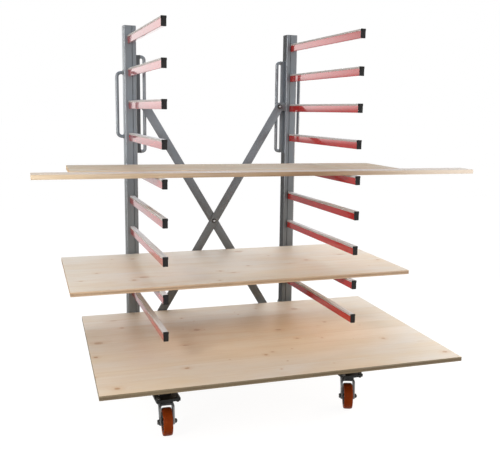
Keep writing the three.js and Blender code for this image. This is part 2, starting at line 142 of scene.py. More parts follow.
# ------------------------------------------------------------------ materials
def powder_coat(name, tone=1.0, inner=0.0):
    """Blue-grey powder coat. tone scales its colour, which makes lit and shaded copies of the coat. inner is the sign
    of the x direction in which an upright faces the middle of the rack: that side is mat, and its colour is darkened
    with painted shade except over the height of the handle plate.
    """
    m = Mat(name)
    c = lambda *v: tuple(tone * x for x in v)
    peel = m.noise(m.obj, 900.0, 2.0, 0.5)
    cloud = m.noise(m.obj, 7.0, 4.0, 0.6)
    speck = m.noise(m.obj, 2600.0, 1.0, 0.5)
    dust = m.noise(m.vec(m.obj, (30, 30, 5)), 1.0, 5.0, 0.65)
    base = m.ramp(cloud, (0.30, c(0.153, 0.189, 0.234)), (0.72, c(0.186, 0.228, 0.278)))
    base = m.mix(m.remap(speck, 0.56, 0.74, 0.0, 0.35), base, c(0.262, 0.295, 0.334))
    base = m.mix(m.remap(dust, 0.58, 0.80, 0.0, 0.22), base, c(0.27, 0.278, 0.286))
    rough = m.remap(m.math("ADD", m.math("MULTIPLY", cloud, 0.6), m.math("MULTIPLY", dust, 0.4)), 0.3, 0.7, 0.30, 0.42)
    # painted shade: the lower half of the rack darker and warmer, where the boards shade it and cast their colour on
    # it, broken up by the dust noise
    z = m.node("SeparateXYZ", {0: m.obj}).outputs[2]
    painted_low_shade = m.math("MULTIPLY", m.remap(z, 0.78, 1.08, 1.0, 0.0, True), m.remap(dust, 0.30, 0.70, 0.80, 1.0))
    base = m.mix(painted_low_shade, base, m.mix(cloud, c(0.116, 0.136, 0.152), c(0.136, 0.156, 0.172)))
    # painted shade: the side that faces the middle of the rack is darkened, but not over the height of the handle
    # plate; that side is also rougher
    if inner:
        n = m.node("SeparateXYZ", {0: m.tc.outputs["Normal"]}).outputs[0]
        side = m.remap(m.math("MULTIPLY", n, inner), 0.90, 0.99, 0.0, 1.0, True)
        grip = m.math("MULTIPLY", m.remap(z, 1.070, 1.090, 0.0, 1.0, True), m.remap(z, 1.530, 1.550, 1.0, 0.0, True))
        side = m.math("MULTIPLY", side, m.math("SUBTRACT", 1.0, grip))
        base = m.mix(side, base, m.mix(cloud, (0.046, 0.054, 0.062), (0.068, 0.078, 0.088)))
        rough = m.math("ADD", m.math("MULTIPLY", rough, m.math("SUBTRACT", 1.0, side)), m.math("MULTIPLY", side, 0.85))
    return m.set(color=base, rough=rough, spec=0.6, normal=m.bump(peel, 0.16, 0.0004))


def red_paint():
    m = Mat("red_gloss_paint")
    peel = m.noise(m.obj, 260.0, 2.0, 0.5)
    cloud = m.noise(m.vec(m.obj, (40, 6, 40)), 1.0, 4.0, 0.6)
    scuff = m.noise(m.vec(m.obj, (900, 22, 900)), 1.0, 3.0, 0.7)
    base = m.ramp(cloud, (0.28, (0.420, 0.012, 0.010)), (0.72, (0.520, 0.022, 0.017)))
    base = m.mix(m.remap(scuff, 0.66, 0.80, 0.0, 0.20), base, (0.60, 0.11, 0.09))
    rough = m.remap(scuff, 0.45, 0.78, 0.16, 0.34)
    return m.set(color=base, rough=rough, spec=0.12, coat=0.9, coat_rough=0.04, normal=m.bump(peel, 0.05, 0.0004))


def grey_strip():
    m = Mat("silver_strip")
    line = m.noise(m.vec(m.obj, (2600, 3.0, 2600)), 1.0, 3.0, 0.6)
    wear = m.noise(m.vec(m.obj, (160, 9, 160)), 1.0, 4.0, 0.65)
    base = m.ramp(line, (0.30, (0.56, 0.565, 0.58)), (0.70, (0.65, 0.655, 0.67)))
    base = m.mix(m.remap(wear, 0.56, 0.76, 0.0, 0.45), base, (0.49, 0.495, 0.51))
    # painted light: the top of the strip lighter and its sides and underside darker, by which way each face points
    painted_top_light = m.remap(m.node("SeparateXYZ", {0: m.tc.outputs["Normal"]}).outputs[2], 0.30, 0.80, 0.0, 1.0, True)
    base = m.mix(painted_top_light, m.mix(0.5, base, (0.34, 0.35, 0.375)), m.mix(0.6, base, (0.78, 0.79, 0.83)))
    rough = m.remap(line, 0.3, 0.7, 0.46, 0.62)
    return m.set(color=base, rough=rough, spec=0.14, normal=m.bump(line, 0.12, 0.0002))


def black_plastic():
    m = Mat("black_moulded_plastic")
    grain = m.noise(m.obj, 1500.0, 3.0, 0.6)
    cloud = m.noise(m.obj, 60.0, 3.0, 0.6)
    base = m.ramp(cloud, (0.3, (0.006, 0.006, 0.007)), (0.7, (0.016, 0.016, 0.017)))
    return m.set(color=base, rough=m.remap(grain, 0.3, 0.7, 0.46, 0.66), spec=0.3, normal=m.bump(grain, 0.3, 0.0003))


def black_steel():
    m = Mat("black_coated_steel")
    peel = m.noise(m.obj, 700.0, 2.0, 0.5)
    cloud = m.noise(m.obj, 45.0, 4.0, 0.65)
    chip = m.noise(m.obj, 210.0, 4.0, 0.7)
    base = m.ramp(cloud, (0.3, (0.014, 0.018, 0.021)), (0.75, (0.030, 0.036, 0.041)))
    base = m.mix(m.remap(chip, 0.66, 0.76, 0.0, 0.5), base, (0.07, 0.07, 0.07))
    return m.set(color=base, rough=m.remap(cloud, 0.3, 0.7, 0.34, 0.55), spec=0.3, normal=m.bump(peel, 0.2, 0.0004))


def zinc():
    m = Mat("zinc_plated_steel")
    brush = m.noise(m.vec(m.obj, (120, 120, 900)), 1.0, 3.0, 0.6)
    spangle = m.node("TexVoronoi", {"Vector": m.obj, "Scale": 240.0}).outputs["Color"]
    tone = m.node("SeparateColor", {0: spangle}).outputs[0]
    stain = m.noise(m.obj, 38.0, 4.0, 0.65)
    base = m.ramp(m.math("ADD", m.math("MULTIPLY", tone, 0.35), m.math("MULTIPLY", brush, 0.65)),
                  (0.25, (0.36, 0.375, 0.40)), (0.75, (0.56, 0.575, 0.60)))
    base = m.mix(m.remap(stain, 0.55, 0.8, 0.0, 0.55), base, (0.22, 0.205, 0.19))
    return m.set(color=base, rough=m.remap(brush, 0.3, 0.7, 0.26, 0.44), metal=0.92, normal=m.bump(brush, 0.1, 0.0002))


def fork_steel():
    m = Mat("fork_pressed_steel")
    brush = m.noise(m.vec(m.obj, (120, 120, 700)), 1.0, 3.0, 0.6)
    stain = m.noise(m.obj, 46.0, 4.0, 0.65)
    z = m.node("SeparateXYZ", {0: m.obj}).outputs[2]
    base = m.ramp(brush, (0.28, (0.215, 0.218, 0.222)), (0.74, (0.300, 0.302, 0.305)))
    base = m.mix(m.remap(stain, 0.50, 0.78, 0.0, 0.45), base, (0.150, 0.132, 0.118))
    # painted shade: the top of the fork, under the plate, darkened almost to black
    base = m.mix(m.remap(z, 0.108, 0.126, 0.0, 0.85, True), base, (0.018, 0.020, 0.022))
    return m.set(color=base, rough=m.remap(brush, 0.3, 0.7, 0.30, 0.48), metal=0.85, normal=m.bump(brush, 0.12, 0.0002))


def dark_steel():
    m = Mat("dark_oiled_steel")
    mill = m.noise(m.obj, 620.0, 3.0, 0.6)
    oil = m.noise(m.obj, 70.0, 3.0, 0.6)
    base = m.ramp(oil, (0.3, (0.040, 0.038, 0.036)), (0.72, (0.095, 0.092, 0.088)))
    return m.set(color=base, rough=m.remap(mill, 0.3, 0.7, 0.28, 0.5), metal=0.75, normal=m.bump(mill, 0.15, 0.0003))


def polyurethane():
    m = Mat("orange_polyurethane")
    cloud = m.noise(m.obj, 55.0, 4.0, 0.6)
    fine = m.noise(m.obj, 1100.0, 2.0, 0.6)
    grime = m.noise(m.vec(m.obj, (260, 60, 60)), 1.0, 5.0, 0.7)
    base = m.ramp(cloud, (0.28, (0.250, 0.040, 0.005)), (0.74, (0.335, 0.062, 0.009)))
    base = m.mix(m.remap(grime, 0.56, 0.80, 0.0, 0.45), base, (0.14, 0.030, 0.006))
    return m.set(color=base, rough=m.remap(fine, 0.3, 0.7, 0.44, 0.60), sss=0.08, sss_radius=(0.6, 0.2, 0.08), sss_scale=0.004,
                 spec=0.10, normal=m.bump(fine, 0.14, 0.0003))


def hub_iron():
    m = Mat("dark_cast_hub")
    cast = m.noise(m.obj, 520.0, 4.0, 0.65)
    cloud = m.noise(m.obj, 80.0, 3.0, 0.6)
    base = m.ramp(cloud, (0.3, (0.020, 0.020, 0.021)), (0.72, (0.052, 0.050, 0.048)))
    return m.set(color=base, rough=m.remap(cast, 0.3, 0.7, 0.42, 0.66), metal=0.25, normal=m.bump(cast, 0.35, 0.0005))


def weld():
    m = Mat("coated_weld_bead")
    cloud = m.noise(m.obj, 90.0, 3.0, 0.6)
    peel = m.noise(m.obj, 1100.0, 2.0, 0.5)
    base = m.ramp(cloud, (0.3, (0.128, 0.150, 0.172)), (0.72, (0.172, 0.198, 0.224)))
    return m.set(color=base, rough=m.remap(cloud, 0.3, 0.7, 0.32, 0.5), coat=0.2, coat_rough=0.15, normal=m.bump(peel, 0.2, 0.0004))


def pine_face(name, lamella, seed, knots=(4.2, 7.0), tint=(1.0, 1.0, 1.0), mat=0.0, painted_end_light=0.0, painted_shade_tone=False):
    """Sanded softwood, grain along local X, glued up from lamellae of the given width, with rings that part round small knots."""
    m = Mat(name)
    s = m.node("SeparateXYZ", {0: m.obj})
    x, y = s.outputs[0], s.outputs[1]
    lane = m.math("DIVIDE", y, lamella)
    idx = m.math("FLOOR", m.math("ADD", lane, 100.5))
    rnd = m.node("TexWhiteNoise", {"Vector": m.node("CombineXYZ", {0: idx, 1: seed}).outputs[0]}, noise_dimensions="3D")
    rc = m.node("SeparateColor", {0: rnd.outputs["Color"]})
    r1, r2, r3 = rc.outputs[0], rc.outputs[1], rc.outputs[2]
    px = m.math("ADD", x, m.math("MULTIPLY", r1, 9.0))
    py = m.math("ADD", y, m.math("MULTIPLY", r2, 3.0))
    # knots of two sizes
    wob = m.noise(m.node("CombineXYZ", {0: m.math("MULTIPLY", px, 60.0), 1: m.math("MULTIPLY", py, 90.0), 2: seed}).outputs[0], 1.0, 2.0, 0.5)

    def knot_field(kx, ky, least, biggest, off):
        v = m.node("CombineXYZ", {0: m.math("ADD", m.math("MULTIPLY", px, kx), off), 1: m.math("ADD", m.math("MULTIPLY", py, ky), off + seed * 1.7)}).outputs[0]
        vor = m.node("TexVoronoi", {"Vector": v, "Scale": 1.0, "Randomness": 1.0}, voronoi_dimensions="2D")
        d = m.math("ADD", vor.outputs["Distance"], m.math("MULTIPLY", m.math("SUBTRACT", wob, 0.5), 0.4 * biggest))
        chance = m.remap(m.node("SeparateColor", {0: vor.outputs["Color"]}).outputs[0], least, 1.0, 0.0, 1.0)
        size = m.math("MULTIPLY", m.math("POWER", chance, 1.6), biggest)
        return m.math("DIVIDE", d, m.math("MAXIMUM", size, 0.0001))

    rel = m.math("MINIMUM", knot_field(knots[0], knots[1], 0.40, 0.100, 0.0), knot_field(knots[0] * 1.6, knots[1] * 1.3, 0.72, 0.085, 3.7))
    core = m.remap(rel, 0.60, 1.05, 1.0, 0.0, True)
    halo = m.remap(rel, 0.9, 3.0, 1.0, 0.0, True)
    # growth rings, pushed apart round the knots
    slow = m.noise(m.node("CombineXYZ", {0: m.math("MULTIPLY", px, 0.9), 1: m.math("MULTIPLY", py, 9.0), 2: seed}).outputs[0], 1.0, 3.0, 0.5)
    push = m.math("MULTIPLY", m.remap(rel, 0.6, 4.5, 1.0, 0.0, True), 1.6)
    phase = m.math("ADD", m.math("ADD", m.math("MULTIPLY", py, 74.0), m.math("MULTIPLY", slow, 15.0)), push)
    ring = m.math("SINE", m.math("MULTIPLY", phase, 6.2832))
    ring = m.math("POWER", m.remap(ring, -1.0, 1.0, 0.0, 1.0), 2.4)
    fibre = m.noise(m.node("CombineXYZ", {0: m.math("MULTIPLY", px, 7.0), 1: m.math("MULTIPLY", py, 560.0), 2: seed}).outputs[0], 1.0, 3.0, 0.6)
    pore = m.noise(m.node("CombineXYZ", {0: m.math("MULTIPLY", px, 55.0), 1: m.math("MULTIPLY", py, 1500.0), 2: seed}).outputs[0], 1.0, 2.0, 0.6)
    long_streak = m.noise(m.node("CombineXYZ", {0: m.math("MULTIPLY", px, 1.1), 1: m.math("MULTIPLY", py, 46.0), 2: seed + 5.0}).outputs[0], 1.0, 4.0, 0.6)
    blot = m.noise(m.vec(m.obj, (1.6, 3.4, 1.0), (seed, 0, 0)), 1.0, 3.0, 0.55)
    c = lambda r, g, b: (r * tint[0], g * tint[1], b * tint[2])
    figure = m.noise(m.node("CombineXYZ", {0: m.math("MULTIPLY", px, 4.2), 1: m.math("MULTIPLY", py, 15.0), 2: seed + 9.0}).outputs[0], 1.0, 4.0, 0.62)
    fleck = m.noise(m.node("CombineXYZ", {0: m.math("MULTIPLY", px, 26.0), 1: m.math("MULTIPLY", py, 170.0), 2: seed + 2.0}).outputs[0], 1.0, 2.0, 0.5)
    base = m.mix(m.math("MULTIPLY", ring, m.remap(figure, 0.36, 0.66, 0.12, 0.62)), c(0.748, 0.640, 0.515), c(0.668, 0.525, 0.383))
    base = m.mix(m.remap(figure, 0.50, 0.68, 0.0, 0.62), base, c(0.650, 0.485, 0.325))
    base = m.mix(m.remap(figure, 0.32, 0.46, 0.55, 0.0), base, c(0.790, 0.705, 0.590))
    base = m.mix(m.remap(fleck, 0.68, 0.78, 0.0, 0.55), base, c(0.500, 0.330, 0.195))
    base = m.mix(m.remap(fibre, 0.35, 0.72, 0.0, 0.30), base, c(0.680, 0.548, 0.418))
    base = m.mix(m.remap(pore, 0.62, 0.80, 0.0, 0.28), base, c(0.55, 0.41, 0.28))
    base = m.mix(m.remap(r3, 0.0, 1.0, 0.0, 0.60), base, c(0.695, 0.545, 0.395))
    base = m.mix(m.remap(r2, 0.45, 1.0, 0.0, 0.40), base, c(0.770, 0.670, 0.560))
    base = m.mix(m.remap(long_streak, 0.52, 0.70, 0.0, 0.42), base, c(0.640, 0.470, 0.320))
    base = m.mix(m.remap(long_streak, 0.30, 0.44, 0.40, 0.0), base, c(0.775, 0.680, 0.575))
    warm = m.noise(m.node("CombineXYZ", {0: m.math("MULTIPLY", px, 2.3), 1: m.math("MULTIPLY", py, 5.5), 2: seed + 14.0}).outputs[0], 1.0, 4.0, 0.6)
    base = m.mix(m.remap(warm, 0.50, 0.68, 0.0, 0.60), base, c(0.725, 0.555, 0.365))
    base = m.mix(m.remap(warm, 0.32, 0.48, 0.60, 0.0), base, c(0.730, 0.660, 0.580))
    base = m.mix(m.remap(blot, 0.35, 0.70, 0.0, 0.22), base, c(0.765, 0.655, 0.540))
    base = m.mix(m.math("MULTIPLY", halo, 0.34), base, c(0.620, 0.400, 0.230))
    knot = m.ramp(m.remap(rel, 0.0, 1.05, 0.0, 1.0), (0.0, (0.360, 0.195, 0.098)), (0.60, (0.420, 0.245, 0.130)), (0.92, (0.270, 0.145, 0.073)))
    base = m.mix(m.math("MULTIPLY", core, m.remap(figure, 0.35, 0.65, 0.45, 0.95)), base, knot)
    edge = m.math("ABSOLUTE", m.math("SUBTRACT", m.math("FRACT", m.math("ADD", lane, 100.5)), 0.5))
    joint = m.remap(edge, 0.4930, 0.4985, 0.0, 0.42)
    base = m.mix(joint, base, c(0.40, 0.27, 0.17))
    # painted light: the board paler and more neutral towards its right end
    if painted_end_light:
        base = m.mix(m.remap(x, 0.15, 0.85, 0.0, painted_end_light), base, (0.70, 0.665, 0.62))
    if painted_shade_tone:
        # painted shade: a warm, yellower patch where the middle panel shades this board, and a darker, bluer right end
        u = m.math("DIVIDE", m.math("SUBTRACT", x, 0.06), 0.62)
        v = m.math("DIVIDE", m.math("ADD", y, 0.04), 0.34)
        far = m.math("ADD", m.math("ADD", m.math("MULTIPLY", u, u), m.math("MULTIPLY", v, v)), m.math("MULTIPLY", m.math("SUBTRACT", warm, 0.5), 1.2))
        painted_warm_shade = m.remap(far, 0.15, 1.0, 1.0, 0.0)
        painted_right_end_shade = m.remap(m.math("ADD", x, m.math("MULTIPLY", m.math("SUBTRACT", blot, 0.5), 0.3)), 0.28, 0.62, 0.0, 1.0)
        tone = m.mix(painted_warm_shade, m.mix(painted_right_end_shade, (1.0, 1.0, 1.0), (0.90, 0.95, 1.0)), (1.12, 1.02, 0.88))
        base = m.node("VectorMath", {0: base, 1: tone}, operation="MULTIPLY").outputs[0]
    rough = m.remap(m.math("ADD", m.math("MULTIPLY", ring, 0.4), m.math("MULTIPLY", fibre, 0.6)), 0.2, 0.8, 0.44 + mat, 0.60 + mat)
    h = m.math("ADD", m.math("MULTIPLY", fibre, 0.7), m.math("MULTIPLY", ring, 0.3))
    h = m.math("SUBTRACT", h, m.math("MULTIPLY", joint, 1.2))
    return m.set(color=base, rough=rough, spec=0.5 - mat, normal=m.bump(h, 0.22, 0.0004))


def pine_edge(name, along, seed, ply=True, tint=(1.0, 1.0, 1.0), painted_end_light=0.0):
    """Sawn edge of a board. along is the local axis (0 or 1) that the edge runs in; the core layer of a three-layer panel shows its end grain."""
    m = Mat(name)
    s = m.node("SeparateXYZ", {0: m.obj})
    t, z = s.outputs[along], s.outputs[2]
    streak = m.noise(m.node("CombineXYZ", {0: m.math("MULTIPLY", t, 5.0), 1: m.math("MULTIPLY", z, 420.0), 2: seed}).outputs[0], 1.0, 3.0, 0.6)
    saw = m.noise(m.node("CombineXYZ", {0: m.math("MULTIPLY", t, 900.0), 1: m.math("MULTIPLY", z, 60.0), 2: seed}).outputs[0], 1.0, 2.0, 0.6)
    stave = m.node("TexWhiteNoise", {"W": m.math("FLOOR", m.math("MULTIPLY", m.math("ADD", t, 5.0 + seed), 9.5))}, noise_dimensions="1D").outputs[0]
    blot = m.noise(m.node("CombineXYZ", {0: m.math("MULTIPLY", t, 6.0), 1: seed}).outputs[0], 1.0, 3.0, 0.6)
    c = lambda r, g, b: (r * tint[0], g * tint[1], b * tint[2])
    base = m.mix(m.remap(streak, 0.32, 0.72, 0.0, 1.0), c(0.655, 0.470, 0.262), c(0.520, 0.345, 0.170))
    base = m.mix(m.remap(blot, 0.40, 0.72, 0.0, 0.55), base, c(0.470, 0.315, 0.170))
    stretch = m.noise(m.node("CombineXYZ", {0: m.math("MULTIPLY", t, 2.1), 1: m.math("MULTIPLY", z, 90.0), 2: seed + 4.0}).outputs[0], 1.0, 3.0, 0.6)
    base = m.mix(m.remap(stretch, 0.50, 0.68, 0.0, 0.55), base, c(0.400, 0.265, 0.150))
    base = m.mix(m.remap(stretch, 0.30, 0.44, 0.45, 0.0), base, c(0.690, 0.540, 0.370))
    # painted light: the long edge paler towards its right end
    if painted_end_light and along == 0:
        base = m.mix(m.remap(t, 0.15, 0.85, 0.0, painted_end_light), base, (0.86, 0.83, 0.79))
        # painted shade: the middle part of the long edge darkened
        painted_mid_shade = m.math("MINIMUM", m.remap(t, -0.75, 0.10, 0.0, 1.0), m.remap(t, 0.22, 0.66, 1.0, 0.0))
        painted_mid_shade = m.math("MULTIPLY", painted_mid_shade, m.remap(streak, 0.30, 0.70, 0.86, 1.0))
        base = m.node("VectorMath", {0: base, 1: m.mix(painted_mid_shade, (1.0, 1.0, 1.0), (0.58, 0.47, 0.40))}, operation="MULTIPLY").outputs[0]
    if ply:
        core = m.remap(m.math("ABSOLUTE", z), 0.0030, 0.0034, 1.0, 0.0, True)
        grain = m.mix(m.remap(saw, 0.30, 0.72, 0.0, 1.0), c(0.500, 0.345, 0.185), c(0.350, 0.225, 0.115))
        grain = m.mix(m.math("MULTIPLY", stave, 0.55), grain, c(0.270, 0.172, 0.095))
        base = m.mix(m.math("MULTIPLY", core, 0.85), base, grain)
        glue = m.remap(m.math("ABSOLUTE", m.math("SUBTRACT", m.math("ABSOLUTE", z), 0.0032)), 0.0, 0.0004, 0.5, 0.0)
        base = m.mix(glue, base, c(0.20, 0.125, 0.07))
    base = m.mix(m.remap(saw, 0.62, 0.80, 0.0, 0.3), base, c(0.36, 0.23, 0.12))
    h = m.math("ADD", m.math("MULTIPLY", streak, 0.5), m.math("MULTIPLY", saw, 0.5))
    return m.set(color=base, rough=m.remap(streak, 0.3, 0.7, 0.58, 0.76), spec=0.3, normal=m.bump(h, 0.3, 0.0005))


GREY, RED, STRIP, CAP = powder_coat("grey_powder_coat"), red_paint(), grey_strip(), black_plastic()
UPRIGHT = {"left": powder_coat("grey_upright_left_shaded_inner_side", 1.0, 1.0), "right": powder_coat("grey_upright_right_shaded_inner_side", 1.0, -1.0)}
# painted light: the handle bars and the right grip strip are lighter copies of the grey coat, the left grip strip a
# darker, shaded copy
BAR = powder_coat("grey_handle_bar_painted_light", 1.10)
GRIP_STRIP_LIT_AND_SHADED = {"left": powder_coat("grey_strip_left_painted_shade", 0.42), "right": powder_coat("grey_strip_right_painted_light", 1.15)}
BLACK, ZINC, FORK, DARK, PU, HUB, WELD = black_steel(), zinc(), fork_steel(), dark_steel(), polyurethane(), hub_iron(), weld()


# ------------------------------------------------------------------ mesh helpers
def piece(name, bm, mat, body, replaces=(), matrix=None, sharp=32.0):
    """Turns a bmesh into a named object that rides on a body."""
    bmesh.ops.recalc_face_normals(bm, faces=bm.faces)
    me = bpy.data.meshes.new(name)
    bm.to_mesh(me)
    bm.free()
    return place(name, me, mat, body, replaces, matrix, sharp)


def place(name, me, mat, body, replaces=(), matrix=None, sharp=32.0):
    me.polygons.foreach_set("use_smooth", [True] * len(me.polygons))
    me.set_sharp_from_angle(angle=math.radians(sharp))
    if not me.materials:
        for x in (mat if isinstance(mat, (list, tuple)) else [mat]):
            me.materials.append(x)
    o = bpy.data.objects.new(name, me)
    scene.collection.objects.link(o)
    if matrix is not None:
        o.matrix_world = matrix
    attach(o, body)
    if replaces:
        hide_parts(*replaces)
    return o


def rounded(u0, v0, u1, v1, r, seg=6):
    """Rectangle with round corners, counter-clockwise."""
    pts = []
    for cu, cv, a0 in ((u1 - r, v0 + r, -90), (u1 - r, v1 - r, 0), (u0 + r, v1 - r, 90), (u0 + r, v0 + r, 180)):
        for k in range(seg + 1):
            a = math.radians(a0 + 90 * k / seg)
            pts.append((cu + r * math.cos(a), cv + r * math.sin(a)))
    return pts


AX = {"x": lambda u, v, w: (w, u, v), "y": lambda u, v, w: (u, w, v), "z": lambda u, v, w: (u, v, w)}


def prism(bm, pts, a, b, axis):
    """Outline extruded from a to b: along x the outline is (y, z), along y it is (x, z), along z it is (x, y)."""
    f = AX[axis]
    lo = [bm.verts.new(f(u, v, a)) for u, v in pts]
    hi = [bm.verts.new(f(u, v, b)) for u, v in pts]
    n = len(pts)
    faces = [bm.faces.new(lo[::-1]), bm.faces.new(hi)]
    for i in range(n):
        j = (i + 1) % n
        faces.append(bm.faces.new((lo[i], lo[j], hi[j], hi[i])))
    return lo, hi, faces


def bevel_caps(bm, width, seg=2, angle=40.0):
    bmesh.ops.recalc_face_normals(bm, faces=bm.faces)
    edges = [e for e in bm.edges if len(e.link_faces) == 2 and e.calc_face_angle(0.0) > math.radians(angle)]
    bmesh.ops.bevel(bm, geom=edges, offset=width, segments=seg, profile=0.5, affect="EDGES", clamp_overlap=True)


def lathe(bm, prof, seg, axis="z", centre=(0, 0, 0), ring=False):
    """Profile of (radius, height) turned about an axis; a profile that ends on the axis closes itself, ring=True closes the loop."""
    f = AX[axis]
    rows = []
    for r, h in prof:
        if r < 1e-7:
            rows.append([bm.verts.new(Vector(f(0, 0, h)) + Vector(centre))])
        else:
            rows.append([bm.verts.new(Vector(f(r * math.cos(2 * math.pi * k / seg), r * math.sin(2 * math.pi * k / seg), h)) + Vector(centre)) for k in range(seg)])
    pairs = list(zip(rows, rows[1:])) + ([(rows[-1], rows[0])] if ring else [])
    for p, q in pairs:
        for k in range(seg):
            l = (k + 1) % seg
            if len(p) == 1 and len(q) == 1:
                continue
            if len(p) == 1:
                bm.faces.new((p[0], q[l], q[k]))
            elif len(q) == 1:
                bm.faces.new((p[k], p[l], q[0]))
            else:
                bm.faces.new((p[k], p[l], q[l], q[k]))


def sweep(bm, path, radius, seg=18, closed=False):
    """Round bar along a path of points; radius is a number or a function of the distance along it."""
    pts = [Vector(p) for p in path]
    n = len(pts)
    rf = radius if callable(radius) else (lambda s: radius)
    tang = []
    for i in range(n):
        a = pts[(i - 1) % n] if closed or i > 0 else pts[i]
        b = pts[(i + 1) % n] if closed or i < n - 1 else pts[i]
        tang.append((b - a).normalized())
    up = Vector((0, 1, 0)) if abs(tang[0].y) < 0.9 else Vector((1, 0, 0))
    side = tang[0].cross(up).normalized()
    rings, s = [], 0.0
    for i in range(n):
        if i:
            s += (pts[i] - pts[i - 1]).length
        side = (side - tang[i] * side.dot(tang[i])).normalized()
        nrm = side.cross(tang[i]).normalized()
        r = rf(s)
        rings.append([bm.verts.new(pts[i] + side * (r * math.cos(2 * math.pi * k / seg)) + nrm * (r * math.sin(2 * math.pi * k / seg))) for k in range(seg)])
    last = n if closed else n - 1
    for i in range(last):
        p, q = rings[i], rings[(i + 1) % n]
        for k in range(seg):
            l = (k + 1) % seg
            bm.faces.new((p[k], p[l], q[l], q[k]))
    if not closed:
        bm.faces.new(rings[0][::-1])
        bm.faces.new(rings[-1])


def bead_radius(r, phase=0.0):
    return lambda s: r * (1.0 + 0.13 * math.sin(2 * math.pi * s / 0.0042 + phase) + 0.06 * math.sin(2 * math.pi * s / 0.017 + 1.7 * phase))


def line_points(a, b, step=0.0009):
    a, b = Vector(a), Vector(b)
    n = max(2, int((b - a).length / step))
    return [a.lerp(b, k / n) for k in range(n + 1)]


def hexagon(r, turn=0.0):
    return [(r * math.cos(math.radians(60 * k + turn)), r * math.sin(math.radians(60 * k + turn))) for k in range(6)]


def hex_block(bm, flats, a, b, axis, centre=(0, 0, 0), turn=0.0, chamfer_end=1):
    """Hexagon head or nut, chamfered to a circle on its free end (chamfer_end +1 = end b, -1 = end a, 0 = both)."""
    f = AX[axis]
    r = flats / math.sqrt(3.0)
    c = Vector(centre)
    n = 24
    def rim(h, scale):
        out = []
        for k in range(n):
            ang = 2 * math.pi * k / n + math.radians(turn)
            sector = math.radians(60)
            loc = (2 * math.pi * k / n) % sector - sector / 2
            hexr = (flats / 2) / math.cos(loc)
            rad = min(hexr, scale)
            out.append((rad * math.cos(ang), rad * math.sin(ang), h))
        return out
    d = (r - flats / 2 * 0.96) * 0.55
    big = r * 1.01
    levels = []
    if chamfer_end in (-1, 0):
        levels += [(a, flats / 2 * 0.95), (a + d, big)]
    else:
        levels += [(a, big)]
    if chamfer_end in (1, 0):
        levels += [(b - d, big), (b, flats / 2 * 0.95)]
    else:
        levels += [(b, big)]
    rows = [[bm.verts.new(Vector(f(u, v, w)) + c) for u, v, w in rim(h, sc)] for h, sc in levels]
    bm.faces.new(rows[0][::-1])
    bm.faces.new(rows[-1])
    for p, q in zip(rows, rows[1:]):
        for k in range(n):
            l = (k + 1) % n
            bm.faces.new((p[k], p[l], q[l], q[k]))


def thread_end(bm, r, a, b, axis, centre, pitch=0.0012, seg=20):
    """Stud end with turned thread crests and a chamfered tip at b."""
    prof = [(0.0, a), (r, a)]
    h, d = a, 1.0 if b > a else -1.0
    while (b - h) * d > pitch * 1.6:
        prof += [(r * 0.88, h + d * pitch * 0.5), (r, h + d * pitch)]
        h += d * pitch
    prof += [(r * 0.80, b), (0.0, b)]
    lathe(bm, prof, seg, axis, centre)


# ------------------------------------------------------------------ uprights
for side, cx in UP_X.items():
    s = INWARD[side]
    hw = UP_W / 2
    g = cx + s * 0.0092
    out = []
    for cu, cv, a0 in ((cx + hw - UP_R, UP_Y0 + UP_R, -90), (cx + hw - UP_R, UP_Y1 - UP_R, 0), (cx - hw + UP_R, UP_Y1 - UP_R, 90), (cx - hw + UP_R, UP_Y0 + UP_R, 180)):
        for k in range(13):
            a = math.radians(a0 + 90 * k / 12)
            out.append((cu + UP_R * math.cos(a), cv + UP_R * math.sin(a)))
    out += [(g - 0.0018, UP_Y0), (g - 0.0016, UP_Y0 + 0.0003), (g - 0.0014, UP_Y0 + 0.0044), (g + 0.0014, UP_Y0 + 0.0044), (g + 0.0016, UP_Y0 + 0.0003), (g + 0.0018, UP_Y0)]
    bm = bmesh.new()
    lo, hi, faces = prism(bm, out, UP_FOOT, UP_TOP - 0.0012, "z")
    top = faces[1]
    r = bmesh.ops.inset_region(bm, faces=[top], thickness=0.0012, depth=0.0)
    for v in top.verts:
        v.co.z = UP_TOP
    piece(f"upright_{side}_profile", bm, UPRIGHT[side], "frame", [f"upright_{side}"])
    # weld bead at the foot, at the back only: in front the leg is ground flush for the boards
    for tag, y, sgn in (("rear", UP_Y1, 1),):
        bm = bmesh.new()
        sweep(bm, line_points((cx - 0.0215, y + sgn * 0.0012, UP_FOOT + 0.0008), (cx + 0.0215, y + sgn * 0.0012, UP_FOOT + 0.0008)), bead_radius(0.0030, cx * 40), 10)
        piece(f"upright_{side}_weld_{tag}", bm, WELD, "frame", (), sharp=180)

